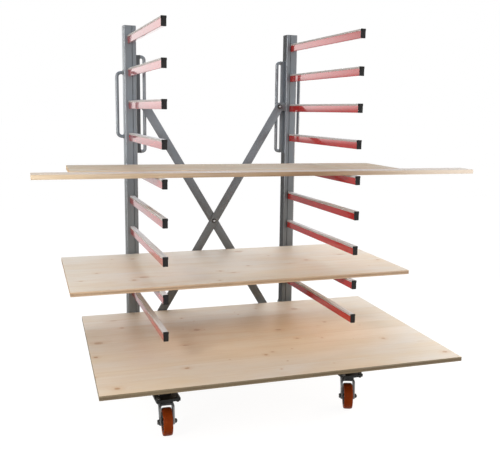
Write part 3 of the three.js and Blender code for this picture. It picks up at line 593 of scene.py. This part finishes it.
# ------------------------------------------------------------------ base legs with plugs and foot plates
for side, cx in COL.items():
    hw = LEG_W / 2
    bm = bmesh.new()
    prism(bm, rounded(cx - hw, LEG_Z0, cx + hw, LEG_Z1, 0.007, 6), LEG_Y0 + 0.003, LEG_Y1 - 0.003, "y")
    bevel_caps(bm, 0.0006, 1)
    piece(f"base_leg_{side}_tube", bm, GREY, "frame", [f"base_leg_{side}"])
    for end, y, d in (("front", LEG_Y0, 1), ("rear", LEG_Y1, -1)):
        bm = bmesh.new()
        a, b = sorted((y, y + d * 0.0032))
        lo, hi, faces = prism(bm, rounded(cx - hw + 0.0004, LEG_Z0 + 0.0004, cx + hw - 0.0004, LEG_Z1 - 0.0004, 0.0068, 6), a, b, "y")
        face = faces[0] if d > 0 else faces[1]
        bmesh.ops.inset_region(bm, faces=[face], thickness=0.0016, depth=0.0)
        bmesh.ops.inset_region(bm, faces=[face], thickness=0.0050, depth=0.0)
        bmesh.ops.inset_region(bm, faces=[face], thickness=0.0012, depth=0.0)
        for v in face.verts:
            v.co.y += d * 0.0011
        piece(f"base_leg_{side}_plug_{end}", bm, CAP, "frame", (), sharp=25)
    for end in ("front", "rear"):
        x, y = CASTER_X[side], CASTER_Y[end]
        bm = bmesh.new()
        prism(bm, rounded(x - 0.049, y - 0.054, x + 0.049, y + 0.054, 0.0035, 5), 0.152, 0.158, "z")
        bevel_caps(bm, 0.0007, 2)
        piece(f"base_leg_{side}_foot_plate_{end}", bm, BLACK, "frame", ())
        for k, sx in enumerate((-1, 1)):
            bm = bmesh.new()
            y0, y1 = max(LEG_Y0 + 0.004, y - 0.046), min(LEG_Y1 - 0.004, y + 0.046)
            sweep(bm, line_points((cx + sx * (hw - 0.0005), y0, 0.1586), (cx + sx * (hw - 0.0005), y1, 0.1586)), bead_radius(0.0026, 3 * k + y), 10)
            piece(f"base_leg_{side}_weld_{end}_{k + 1}", bm, WELD, "frame", (), sharp=180)

# ------------------------------------------------------------------ cantilever arms: tube, clip-on strip, end cap
for side, cx in COL.items():
    for i in range(9):
        z = ARM_TOP - i * ARM_PITCH
        hw = ARM_W / 2
        bm = bmesh.new()
        prism(bm, rounded(cx - hw, z, cx + hw, z + 0.0362, 0.0022, 5), ARM_TIP + 0.0042, ARM_ROOT, "y")
        bevel_caps(bm, 0.0004, 1, 60)
        tube = piece(f"arm_{side}_{i + 1}_tube", bm, RED, "frame", [f"arm_{side}_{i + 1}"])
        o, t, top, low = hw + 0.0008, hw + 0.0002, z + ARM_H, z + ARM_H - STRIP_LIP
        prof = []
        for k in range(7):
            a = math.radians(90 * k / 6)
            prof.append((cx + o - 0.0022 + 0.0022 * math.cos(a), top - 0.0022 + 0.0022 * math.sin(a)))
        for k in range(7):
            a = math.radians(90 + 90 * k / 6)
            prof.append((cx - o + 0.0022 + 0.0022 * math.cos(a), top - 0.0022 + 0.0022 * math.sin(a)))
        prof += [(cx - o, low + 0.0004), (cx - o + 0.0004, low), (cx - t, low), (cx - t, top - 0.0016), (cx + t, top - 0.0016), (cx + t, low), (cx + o - 0.0004, low), (cx + o, low + 0.0004)]
        bm = bmesh.new()
        prism(bm, prof, ARM_TIP + 0.0042, ARM_ROOT - 0.0006, "y")
        piece(f"arm_{side}_{i + 1}_strip", bm, STRIP, "frame", (), sharp=28)
        # end cap, stepped like the tube and strip behind it
        w0, w1 = hw + 0.0002, o + 0.0003
        zb, zs, zt, rr = z - 0.0001, low - 0.0003, top + 0.0002, 0.0016
        cap = [(cx - w0 + rr, zb), (cx + w0 - rr, zb), (cx + w0 - rr * 0.3, zb + rr * 0.3), (cx + w0, zb + rr), (cx + w0, zs), (cx + w1 - 0.0004, zs), (cx + w1, zs + 0.0004), (cx + w1, zt - rr), (cx + w1 - rr * 0.3, zt - rr * 0.3), (cx + w1 - rr, zt),
               (cx - w1 + rr, zt), (cx - w1 + rr * 0.3, zt - rr * 0.3), (cx - w1, zt - rr), (cx - w1, zs + 0.0004), (cx - w1 + 0.0004, zs), (cx - w0, zs), (cx - w0, zb + rr), (cx - w0 + rr * 0.3, zb + rr * 0.3)]
        bm = bmesh.new()
        lo, hi, faces = prism(bm, cap, ARM_TIP, ARM_TIP + 0.0040, "y")
        front = faces[0]
        bmesh.ops.inset_region(bm, faces=[front], thickness=0.0008, depth=0.0)
        rim = list(front.verts)
        for e in lo:
            e.co.y += 0.0007
        bmesh.ops.inset_region(bm, faces=[front], thickness=0.0024, depth=0.0)
        bmesh.ops.inset_region(bm, faces=[front], thickness=0.0006, depth=0.0)
        for v in front.verts:
            v.co.y += 0.0006
        piece(f"arm_{side}_{i + 1}_cap", bm, CAP, "frame", (), sharp=25)

# ------------------------------------------------------------------ X-brace
def stadium(xa, za, xb, zb, r, seg=14):
    d = Vector((xb - xa, zb - za)).normalized()
    base = math.atan2(d.y, d.x)
    pts = []
    for cxx, czz, a0 in ((xb, zb, base - math.pi / 2), (xa, za, base + math.pi / 2)):
        for k in range(seg + 1):
            a = a0 + math.pi * k / seg
            pts.append((cxx + r * math.cos(a), czz + r * math.sin(a)))
    return pts


for tag, a, b, y0 in (("front", "lower_left", "upper_right", BAR_Y0), ("rear", "lower_right", "upper_left", REAR_Y0)):
    bm = bmesh.new()
    prism(bm, stadium(BRACE_X[a], BRACE_Z["lower"], BRACE_X[b], BRACE_Z["upper"], 0.021), y0, y0 + 0.005, "y")
    bevel_caps(bm, 0.0007, 2, 60)
    piece(f"brace_bar_{tag}_flat", bm, GREY, "frame", [f"brace_bar_{tag}"])

for spot, y0 in LUG_Y0.items():
    level, side = spot.split("_")
    s, z, bx = INWARD[side], BRACE_Z[level], BRACE_X[spot]
    face = UP_X[side] + s * UP_W / 2 if level == "upper" else COL[side] + s * LEG_W / 2
    pts = [(face + s * 0.0003, z - 0.020)]
    for k in range(17):
        a = math.radians(-90 + 180 * k / 16)
        pts.append((bx + s * 0.020 * math.cos(a), z + 0.020 * math.sin(a)))
    pts.append((face + s * 0.0003, z + 0.020))
    bm = bmesh.new()
    prism(bm, pts, y0, y0 + LUG_T, "y")
    bevel_caps(bm, 0.0007, 2, 60)
    piece(f"brace_lug_{spot}_plate", bm, GREY, "frame", [f"brace_lug_{spot}"])
    for k, y in enumerate((y0 - 0.0006, y0 + LUG_T + 0.0006)):
        bm = bmesh.new()
        sweep(bm, line_points((face + s * 0.0007, y, z - 0.0185), (face + s * 0.0007, y, z + 0.0185)), bead_radius(0.0022, z * 9 + k), 10)
        piece(f"brace_lug_{spot}_weld_{k + 1}", bm, WELD, "frame", (), sharp=180)


def bolt(tag, level, y_front, y_rear, turn):
    """Bolt with a flat round head behind, and a wide washer, a nut and the bright thread end on the loading side."""
    c = (BRACE_X[tag], 0, BRACE_Z[level])
    bm = bmesh.new()
    lathe(bm, [(0.0, y_front - 0.0017), (0.0112, y_front - 0.0017), (0.0117, y_front - 0.0013), (0.0117, y_front - 0.0003), (0.0113, y_front), (0.0, y_front)], 40, "y", c)
    hex_block(bm, 0.0162, y_front - 0.0068, y_front - 0.0015, "y", c, turn, -1)
    lathe(bm, [(0.0, y_rear), (0.0088, y_rear), (0.0091, y_rear + 0.0004), (0.0088, y_rear + 0.0014), (0.0072, y_rear + 0.0026), (0.0046, y_rear + 0.0033), (0.0, y_rear + 0.0034)], 36, "y", c)
    lathe(bm, [(0.0, y_front - 0.001), (0.0049, y_front - 0.001), (0.0049, y_rear + 0.001), (0.0, y_rear + 0.001)], 20, "y", c)
    piece(f"brace_bolt_{tag}_set", bm, DARK, "frame", [f"brace_bolt_{tag}"], sharp=28)
    bm = bmesh.new()
    thread_end(bm, 0.0050, y_front - 0.0060, y_front - 0.0084, "y", c, 0.0008)
    piece(f"brace_bolt_{tag}_end", bm, ZINC, "frame", (), sharp=28)


bolt("centre", "centre", BAR_Y0 - 0.0003, REAR_Y0 + 0.0053, 8)
bolt("upper_right", "upper", BAR_Y0 - 0.0003, LUG_Y0["upper_right"] + LUG_T + 0.0003, 21)
bolt("lower_left", "lower", BAR_Y0 - 0.0003, LUG_Y0["lower_left"] + LUG_T + 0.0003, 40)
bolt("upper_left", "upper", REAR_Y0 - 0.0003, LUG_Y0["upper_left"] + LUG_T + 0.0003, 3)
bolt("lower_right", "lower", REAR_Y0 - 0.0003, LUG_Y0["lower_right"] + LUG_T + 0.0003, 29)

# ------------------------------------------------------------------ handles
def bow_path(x_face, x_bar, y, z_low, z_high, bend):
    d = 1.0 if x_bar > x_face else -1.0
    pts = [(x_face, y, z_low)]
    for k in range(11):
        a = math.radians(90 * k / 10)
        pts.append((x_bar - d * bend + d * bend * math.sin(a), y, z_low + bend - bend * math.cos(a)))
    for k in range(1, 24):
        pts.append((x_bar, y, z_low + bend + (z_high - z_low - 2 * bend) * k / 24))
    for k in range(11):
        a = math.radians(90 * k / 10)
        pts.append((x_bar - d * bend + d * bend * math.cos(a), y, z_high - bend + bend * math.sin(a)))
    pts.append((x_face, y, z_high))
    return pts


def ring_bead(bm, x, y, z, r, phase):
    n = 60
    pts = [(x, y + r * math.cos(2 * math.pi * k / n), z + r * math.sin(2 * math.pi * k / n)) for k in range(n)]
    sweep(bm, pts, bead_radius(0.0021, phase), 8, closed=True)


for side, cx in UP_X.items():
    out = -INWARD[side]
    face = cx + out * UP_W / 2
    y = 0.802 + SY
    bm = bmesh.new()
    sweep(bm, bow_path(face + out * 0.0003, face + out * 0.0285, y, 1.160, 1.459, 0.020), 0.008, 24)
    piece(f"handle_outer_{side}_bow", bm, BAR, "frame", [f"handle_outer_{side}"], sharp=50)
    for k, z in enumerate((1.160, 1.459)):
        bm = bmesh.new()
        ring_bead(bm, face + out * 0.0012, y, z, 0.0088, k + cx)
        piece(f"handle_outer_{side}_weld_{k + 1}", bm, WELD, "frame", (), sharp=180)
    face = cx - out * UP_W / 2
    y = 0.790 + SY
    a, b = sorted((face - out * 0.0003, face - out * 0.020))
    bm = bmesh.new()
    prism(bm, rounded(a, y - 0.004, b, y + 0.004, 0.0012, 3), 1.081, 1.542, "z")
    bevel_caps(bm, 0.0006, 2, 60)
    piece(f"handle_inner_{side}_strip", bm, GRIP_STRIP_LIT_AND_SHADED[side], "frame", [f"handle_inner_{side}"])
    bm = bmesh.new()
    sweep(bm, bow_path(face - out * 0.0195, face - out * 0.040, y, 1.089, 1.534, 0.014), 0.008, 24)
    piece(f"handle_inner_{side}_bow", bm, BAR, "frame", (), sharp=50)
    for k, z in enumerate((1.089, 1.534)):
        bm = bmesh.new()
        ring_bead(bm, face - out * 0.0206, y, z, 0.0080, k + 2 * cx)
        piece(f"handle_inner_{side}_weld_{k + 1}", bm, WELD, "frame", (), sharp=180)
    for k, (z0, z1) in enumerate(((1.086, 1.146), (1.281, 1.341), (1.477, 1.537))):
        bm = bmesh.new()
        sweep(bm, line_points((face - out * 0.0008, y + 0.0045, z0), (face - out * 0.0008, y + 0.0045, z1)), bead_radius(0.0020, z0 * 7), 8)
        piece(f"handle_inner_{side}_seam_{k + 1}", bm, WELD, "frame", (), sharp=180)

# ------------------------------------------------------------------ casters, in a local frame: swivel axis at the origin, wheel trailing to -Y
PLATE_TOP, PLATE_LOW = 0.1517, 0.1467
CROWN_TOP, CROWN_LOW = 0.1322, 0.1242
AXLE = (0.0, -0.030, 0.056)


def plate_mesh():
    bm = bmesh.new()
    prism(bm, rounded(-0.049, -0.054, 0.049, 0.054, 0.004, 8), PLATE_LOW, PLATE_TOP, "z")
    bevel_caps(bm, 0.0008, 2, 60)
    return bm


def race_mesh():
    bm = bmesh.new()
    lathe(bm, [(0.0072, 0.1328), (0.0304, 0.1328), (0.0324, 0.1334), (0.0338, 0.1350), (0.0344, 0.1372), (0.0346, 0.1398), (0.0356, 0.1414), (0.0374, 0.1426), (0.0382, 0.1442), (0.0382, 0.1467), (0.0072, 0.1467)], 48, "z", ring=True)
    lathe(bm, [(0.0, 0.1188), (0.0092, 0.1188), (0.0100, 0.1194), (0.0100, 0.1231), (0.0070, 0.1237), (0.0070, 0.1345), (0.0, 0.1345)], 32, "z")
    return bm


def nuts_mesh():
    bm = bmesh.new()
    for k, (sx, sy) in enumerate(((-1, -1), (1, -1), (-1, 1), (1, 1))):
        c = (sx * 0.039, sy * 0.043, 0.0)
        lathe(bm, [(0.0, 0.1580), (0.0086, 0.1580), (0.0090, 0.1583), (0.0090, 0.1592), (0.0086, 0.1595), (0.0, 0.1595)], 32, "z", c)
        hex_block(bm, 0.0128, 0.1594, 0.1650, "z", c, 13 + 31 * k, 1)
        thread_end(bm, 0.0039, 0.1640, 0.1665, "z", c, 0.0008)
        lathe(bm, [(0.0, 0.1405), (0.0052, 0.1407), (0.0062, 0.1420), (0.0066, 0.1440), (0.0066, 0.1468), (0.0, 0.1468)], 24, "z", c)
    return bm


def apply_modifiers(o):
    dg = bpy.context.evaluated_depsgraph_get()
    me = bpy.data.meshes.new_from_object(o.evaluated_get(dg))
    bpy.data.objects.remove(o)
    return me


def temp(bm, name):
    bmesh.ops.recalc_face_normals(bm, faces=bm.faces)
    me = bpy.data.meshes.new(name)
    bm.to_mesh(me)
    bm.free()
    o = bpy.data.objects.new(name, me)
    scene.collection.objects.link(o)
    return o


def fork_mesh():
    """Sheet steel bent into an inverted U, cut to the side outline of the legs, with the king pin and axle holes."""
    outer, inner, r = 0.0305, 0.0225, 0.013
    prof = []
    for k in range(9):
        a = math.radians(90 * k / 8)
        prof.append((outer - r + r * math.cos(a), CROWN_TOP - r + r * math.sin(a)))
    for k in range(9):
        a = math.radians(90 + 90 * k / 8)
        prof.append((-outer + r + r * math.cos(a), CROWN_TOP - r + r * math.sin(a)))
    prof += [(-outer, 0.030), (-inner, 0.030)]
    q = 0.005
    for k in range(7):
        a = math.radians(180 - 90 * k / 6)
        prof.append((-inner + q + q * math.cos(a), CROWN_LOW - q + q * math.sin(a)))
    for k in range(7):
        a = math.radians(90 - 90 * k / 6)
        prof.append((inner - q + q * math.cos(a), CROWN_LOW - q + q * math.sin(a)))
    prof += [(inner, 0.030), (outer, 0.030)]
    bm = bmesh.new()
    prism(bm, prof, -0.056, 0.030, "y")
    body = temp(bm, "fork_blank")
    ay, az, boss = AXLE[1], AXLE[2], 0.0148
    side = [(0.022, CROWN_TOP + 0.004), (-0.028, CROWN_TOP + 0.004), (-0.0305, CROWN_TOP - 0.006), (-0.0345, CROWN_TOP - 0.016), (ay - boss, az + 0.004)]
    for k in range(1, 21):
        a = math.radians(180 + 200 * k / 20)
        side.append((ay + boss * math.cos(a), az + boss * math.sin(a)))
    side += [(-0.004, az + 0.032), (0.012, CROWN_TOP - 0.026), (0.0205, CROWN_TOP - 0.013), (0.0235, CROWN_TOP - 0.004)]
    bm = bmesh.new()
    prism(bm, side, -0.05, 0.05, "x")
    cutter = temp(bm, "fork_side")
    bm = bmesh.new()
    lathe(bm, [(0.0, 0.12), (0.0076, 0.12), (0.0076, 0.15), (0.0, 0.15)], 32, "z")
    pin = temp(bm, "fork_pin")
    bm = bmesh.new()
    lathe(bm, [(0.0, -0.05), (0.0064, -0.05), (0.0064, 0.05), (0.0, 0.05)], 32, "x", AXLE)
    hole = temp(bm, "fork_hole")
    for tool, op in ((cutter, "INTERSECT"), (pin, "DIFFERENCE"), (hole, "DIFFERENCE")):
        mod = body.modifiers.new("cut", "BOOLEAN")
        mod.operation, mod.object, mod.solver = op, tool, "EXACT"
    bev = body.modifiers.new("edge", "BEVEL")
    bev.width, bev.segments, bev.limit_method, bev.angle_limit = 0.0006, 2, "ANGLE", math.radians(50)
    bpy.context.view_layer.update()
    me = apply_modifiers(body)
    for t in (cutter, pin, hole):
        bpy.data.objects.remove(t)
    return me


def axle_mesh():
    bm = bmesh.new()
    lathe(bm, [(0.0, -0.0325), (0.0058, -0.0325), (0.0058, 0.0370), (0.0, 0.0370)], 24, "x", AXLE)
    lathe(bm, [(0.0062, -0.0324), (0.0108, -0.0324), (0.0112, -0.0321), (0.0112, -0.0311), (0.0108, -0.0308), (0.0062, -0.0308)], 32, "x", AXLE, ring=True)
    lathe(bm, [(0.0062, 0.0308), (0.0108, 0.0308), (0.0112, 0.0311), (0.0112, 0.0321), (0.0108, 0.0324), (0.0062, 0.0324)], 32, "x", AXLE, ring=True)
    hex_block(bm, 0.0172, -0.0383, -0.0322, "x", AXLE, 10, -1)
    hex_block(bm, 0.0172, 0.0322, 0.0387, "x", AXLE, 26, 1)
    thread_end(bm, 0.0056, 0.0365, 0.0412, "x", AXLE, 0.0011)
    return bm


def tyre_mesh():
    w = 0.019
    half = [(0.0420, w - 0.0022), (0.0432, w - 0.0009), (0.0450, w - 0.0003), (0.0485, w), (0.0518, w - 0.0003), (0.0534, w - 0.0011), (0.0545, w - 0.0024), (0.0552, w - 0.0044), (0.0557, w - 0.0075), (0.0560, w - 0.0120), (0.0560, 0.0)]
    prof = half + [(r, -h) for r, h in half[-2::-1]]
    bm = bmesh.new()
    lathe(bm, prof, 72, "x", AXLE, ring=True)
    return bm


def hub_mesh():
    w = 0.019
    half = [(0.0064, 0.0205), (0.0120, 0.0205), (0.0128, 0.0199), (0.0134, 0.0160), (0.0150, 0.0128), (0.0170, 0.0120), (0.0340, 0.0120), (0.0362, 0.0128), (0.0376, 0.0150), (0.0384, w - 0.0022), (0.0392, w - 0.0012), (0.0410, w - 0.0014), (0.0421, w - 0.0022)]
    prof = half + [(r, -h) for r, h in half[::-1]]
    bm = bmesh.new()
    lathe(bm, prof, 60, "x", AXLE, ring=True)
    for k in range(6):
        a = math.radians(60 * k + 14)
        for sx in (-1, 1):
            m = Matrix.Translation(AXLE) @ Matrix.Rotation(a, 4, "X")
            vs = []
            for xx in (sx * 0.0112, sx * 0.0158):
                th = 0.0028 if abs(xx) < 0.013 else 0.0016
                for yy, zz in ((-th, 0.0125), (th, 0.0125), (th, 0.0378), (-th, 0.0378)):
                    vs.append(bm.verts.new(m @ Vector((xx, yy, zz))))
            for q in ((0, 1, 2, 3), (4, 5, 6, 7), (0, 1, 5, 4), (1, 2, 6, 5), (2, 3, 7, 6), (3, 0, 4, 7)):
                bm.faces.new([vs[j] for j in q])
    return bm


fork_data = fork_mesh()
for where, deg in SWIVEL.items():
    end, side = where.split("_")
    base = Matrix.Translation((CASTER_X[side], CASTER_Y[end], 0.0))
    turned = base @ Matrix.Rotation(math.radians(deg), 4, "Z")
    n = f"caster_{where}"
    piece(f"{n}_top_plate", plate_mesh(), BLACK, "frame", [f"{n}_plate"], base)
    piece(f"{n}_race", race_mesh(), BLACK, "frame", (), base)
    piece(f"{n}_nuts", nuts_mesh(), DARK, "frame", (), base, 28)
    place(f"{n}_fork_pressing", fork_data.copy(), FORK, f"{n}_swivel", [f"{n}_fork"], turned, 35)
    piece(f"{n}_axle_bolt", axle_mesh(), DARK, f"{n}_swivel", [f"{n}_axle"], turned, 28)
    piece(f"{n}_tyre", tyre_mesh(), PU, f"{n}_roller", [f"{n}_wheel"], turned, 40)
    piece(f"{n}_hub", hub_mesh(), HUB, f"{n}_roller", (), turned, 28)

# ------------------------------------------------------------------ boards
def board(name, x, y, deg, length, depth, under, lamella, seed, ply, knots, face_tint=(1, 1, 1), edge_tint_and_painted_light=(1, 1, 1), mat=0.0, painted_end_light=0.0, painted_shade_tone=False):
    t = 0.018
    mats = [pine_face(f"{name}_face", lamella, seed, knots, face_tint, mat, painted_end_light, painted_shade_tone), pine_edge(f"{name}_long_edge", 0, seed + 1.3, ply, edge_tint_and_painted_light, painted_end_light), pine_edge(f"{name}_end_edge", 1, seed + 2.1, ply, edge_tint_and_painted_light)]
    bm = bmesh.new()
    hx, hy, hz = length / 2, depth / 2, t / 2
    prism(bm, [(-hx, -hy), (hx, -hy), (hx, hy), (-hx, hy)], -hz, hz, "z")
    bmesh.ops.recalc_face_normals(bm, faces=bm.faces)
    bmesh.ops.bevel(bm, geom=list(bm.edges), offset=0.0011, segments=2, profile=0.6, affect="EDGES")
    bmesh.ops.recalc_face_normals(bm, faces=bm.faces)
    for f in bm.faces:
        nx, ny, nz = (abs(c) for c in f.normal)
        f.material_index = 0 if nz > 0.75 else (1 if ny > nx else 2)
    m = Matrix.Translation((x + SX, y + SY, under + 0.0003 + hz)) @ Matrix.Rotation(math.radians(deg), 4, "Z")
    return piece(f"{name}_board", bm, mats, name, [name], m, 30)


# painted light: the edge tints make the edges of the upper boards lighter and the bottom panel's edge darker, on top of
# the wood's own tone
board("panel_bottom", 0.475, 0.237, -2.18, 1.468, 1.003, 0.278, 0.112, 1.0, True, (4.4, 5.4), (0.905, 0.94, 0.985), (0.46, 0.57, 0.74), painted_shade_tone=True)
board("panel_middle", 0.398, 0.393, -1.16, 1.465, 0.674, 0.578, 0.112, 4.0, True, (4.2, 5.2), (0.90, 0.97, 1.03), (0.94, 1.05, 1.42))
board("plank_front", 0.479, 0.097, -1.3, 1.892, 0.105, 1.028, 0.140, 7.0, False, (2.4, 6.0), (0.84, 0.92, 1.06), (1.03, 1.26, 1.80), 0.2, 0.75)
board("plank_rear", 0.399, 0.333, -1.9, 1.430, 0.330, 1.028, 0.110, 11.0, False, (2.6, 6.0), (0.81, 0.87, 0.90), (1.2, 1.3, 1.5), 0.35)

# ------------------------------------------------------------------ floor
me = bpy.data.meshes.new("studio_floor")
R = 60.0
me.from_pydata([(-R, -R, 0), (R, -R, 0), (R, R, 0), (-R, R, 0)], [], [(0, 1, 2, 3)])
floor = bpy.data.objects.new("studio_floor", me)
scene.collection.objects.link(floor)
fm = Mat("pale_floor")
tone = fm.noise(fm.obj, 0.7, 3.0, 0.5)
fm.set(color=fm.ramp(tone, (0.3, (0.12, 0.12, 0.12)), (0.7, (0.13, 0.13, 0.13))), rough=0.9, spec=0.0)
fm.bsdf.inputs["Emission Color"].default_value = (1.0, 1.0, 1.0, 1.0)
fm.bsdf.inputs["Emission Strength"].default_value = 0.94
me.materials.append(fm.mat)
floor.visible_diffuse = False
floor.visible_glossy = False

# ------------------------------------------------------------------ light
FILL = (-0.35, 0.05, 0.20, 0.50)
FILL_LOW, FILL_HIGH = (1.22, 0.82, 0.46, 1.0), (0.96, 1.0, 1.06, 1.0)
ROOM = (-0.08, 0.05, 0.36, 1.0)
WALL_DIR, WALL = (-0.27, 0.96, 0.02), (0.93, 0.99, 0.80, 1.28)
GLOW_DIR, GLOW = (-0.36, 0.933, 0.06), (0.988, 0.9995, 0.0, 1.3)
PANEL_DIR, PANEL = (-0.975, -0.20, 0.05), (0.94, 0.988, 0.0, 14.0)
world = bpy.data.worlds.new("studio")
scene.world = world
world.use_nodes = True
wt = world.node_tree
wt.nodes.clear()


def wn(kind, ins=None, **attrs):
    n = wt.nodes.new("ShaderNode" + kind)
    for k, v in attrs.items():
        setattr(n, k, v)
    for k, v in (ins or {}).items():
        put(n, k, v)
    return n


def w_map(v, a, b, c, d):
    return wn("MapRange", {"Value": v, "From Min": a, "From Max": b, "To Min": c, "To Max": d}, interpolation_type="SMOOTHSTEP").outputs[0]


def w_math(op, a, b):
    return wn("Math", {0: a, 1: b}, operation=op).outputs[0]


w_dir = wn("TexCoord").outputs["Generated"]
w_xyz = wn("SeparateXYZ", {0: w_dir})
w_x, w_z = w_xyz.outputs[0], w_xyz.outputs[2]
w_path = wn("LightPath")
# soft fill for diffuse light: a pale ceiling, walls a little warmer, a dimmer floor
fill = w_map(w_z, *FILL)
# what glossy surfaces mirror: a pale room, darker low down at the left, with a bright wall at the back left and a bright panel at the left
wall = wn("VectorMath", {0: w_dir, 1: tuple(Vector(WALL_DIR).normalized())}, operation="DOT_PRODUCT").outputs["Value"]
panel = wn("VectorMath", {0: w_dir, 1: tuple(Vector(PANEL_DIR).normalized())}, operation="DOT_PRODUCT").outputs["Value"]
glow = wn("VectorMath", {0: w_dir, 1: tuple(Vector(GLOW_DIR).normalized())}, operation="DOT_PRODUCT").outputs["Value"]
low = w_map(w_z, *ROOM)
level = w_math("ADD", low, w_math("MULTIPLY", w_math("SUBTRACT", 1.0, low), w_map(w_x, -0.34, -0.12, 0.0, 0.62)))
room = w_math("ADD", w_math("MULTIPLY", level, w_math("ADD", w_map(wall, *WALL), w_map(glow, *GLOW))), w_map(panel, *PANEL))
room = w_math("ADD", room, w_map(w_x, -0.05, 0.15, 0.0, 0.65))
hue = wn("Mix", {0: w_map(w_z, 0.10, 0.60, 0.0, 1.0), 6: FILL_LOW, 7: FILL_HIGH}, data_type="RGBA").outputs[2]
w_fill = wn("Background", {"Color": hue, "Strength": fill})
w_room = wn("Background", {"Color": (1.0, 1.0, 1.0, 1.0), "Strength": room})
w_bg = wn("MixShader", {0: w_path.outputs["Is Glossy Ray"], 1: w_fill.outputs[0], 2: w_room.outputs[0]})
w_seen = wn("Background", {"Color": (1.0, 1.0, 1.0, 1.0), "Strength": 1.0})
w_mix = wn("MixShader", {0: w_path.outputs["Is Camera Ray"], 1: w_bg.outputs[0], 2: w_seen.outputs[0]})
wt.links.new(w_mix.outputs[0], wn("OutputWorld").inputs[0])


def softbox(name, loc, target, size, power, tint=(1.0, 1.0, 1.0), glossy=True):
    l = bpy.data.lights.new(name, "AREA")
    l.shape = "RECTANGLE"
    l.size, l.size_y = size
    l.energy = power
    l.color = tint
    o = bpy.data.objects.new(name, l)
    scene.collection.objects.link(o)
    o.location = loc
    o.rotation_euler = (Vector(target) - Vector(loc)).to_track_quat("-Z", "Y").to_euler()
    o.visible_camera = False
    o.visible_glossy = glossy
    return o


softbox("softbox_right", (1.9, -1.5, 1.15), (0.35, -0.1, 0.4), (0.4, 0.7), 20, (1.0, 0.95, 0.90), False)
softbox("softbox_left", (-2.1, -1.3, 1.35), (-0.35, 0.0, 0.5), (0.4, 1.0), 34, (1.0, 0.95, 0.88))
softbox("softbox_top", (0.25, 2.3, 3.5), (0, 0.2, 0.6), (3.0, 1.2), 50, (0.94, 1.0, 1.07))
softbox("softbox_side", (2.5, 0.3, 0.95), (0.0, 0.2, 0.35), (1.0, 0.6), 30, (1.0, 0.85, 0.68))

# ------------------------------------------------------------------ camera
cam_data = bpy.data.cameras.new("camera")
cam_data.sensor_fit = "HORIZONTAL"
cam_data.sensor_width = 36.0
cam_data.lens = 696.0357 * 36.0 / 500.0
cam_data.shift_x = -0.05
cam_data.clip_start, cam_data.clip_end = 0.05, 200.0
cam = bpy.data.objects.new("camera", cam_data)
scene.collection.objects.link(cam)
yaw, pitch, roll = (math.radians(a) for a in (20.952, 9.201, 1.022))
fwd = Vector((math.sin(yaw) * math.cos(pitch), math.cos(yaw) * math.cos(pitch), -math.sin(pitch)))
right = Vector((math.cos(yaw), -math.sin(yaw), 0.0))
up = right.cross(fwd)
r = right * math.cos(roll) + up * math.sin(roll)
u = -right * math.sin(roll) + up * math.cos(roll)
b = -fwd
cam.matrix_world = Matrix(((r.x, u.x, b.x, -1.01593), (r.y, u.y, b.y, -2.87535), (r.z, u.z, b.z, 1.28656), (0, 0, 0, 1)))
scene.camera = cam
scene.view_settings.view_transform = "Standard"
scene.view_settings.look = "None"
scene.cycles.use_denoising = True
scene.cycles.max_bounces = 8
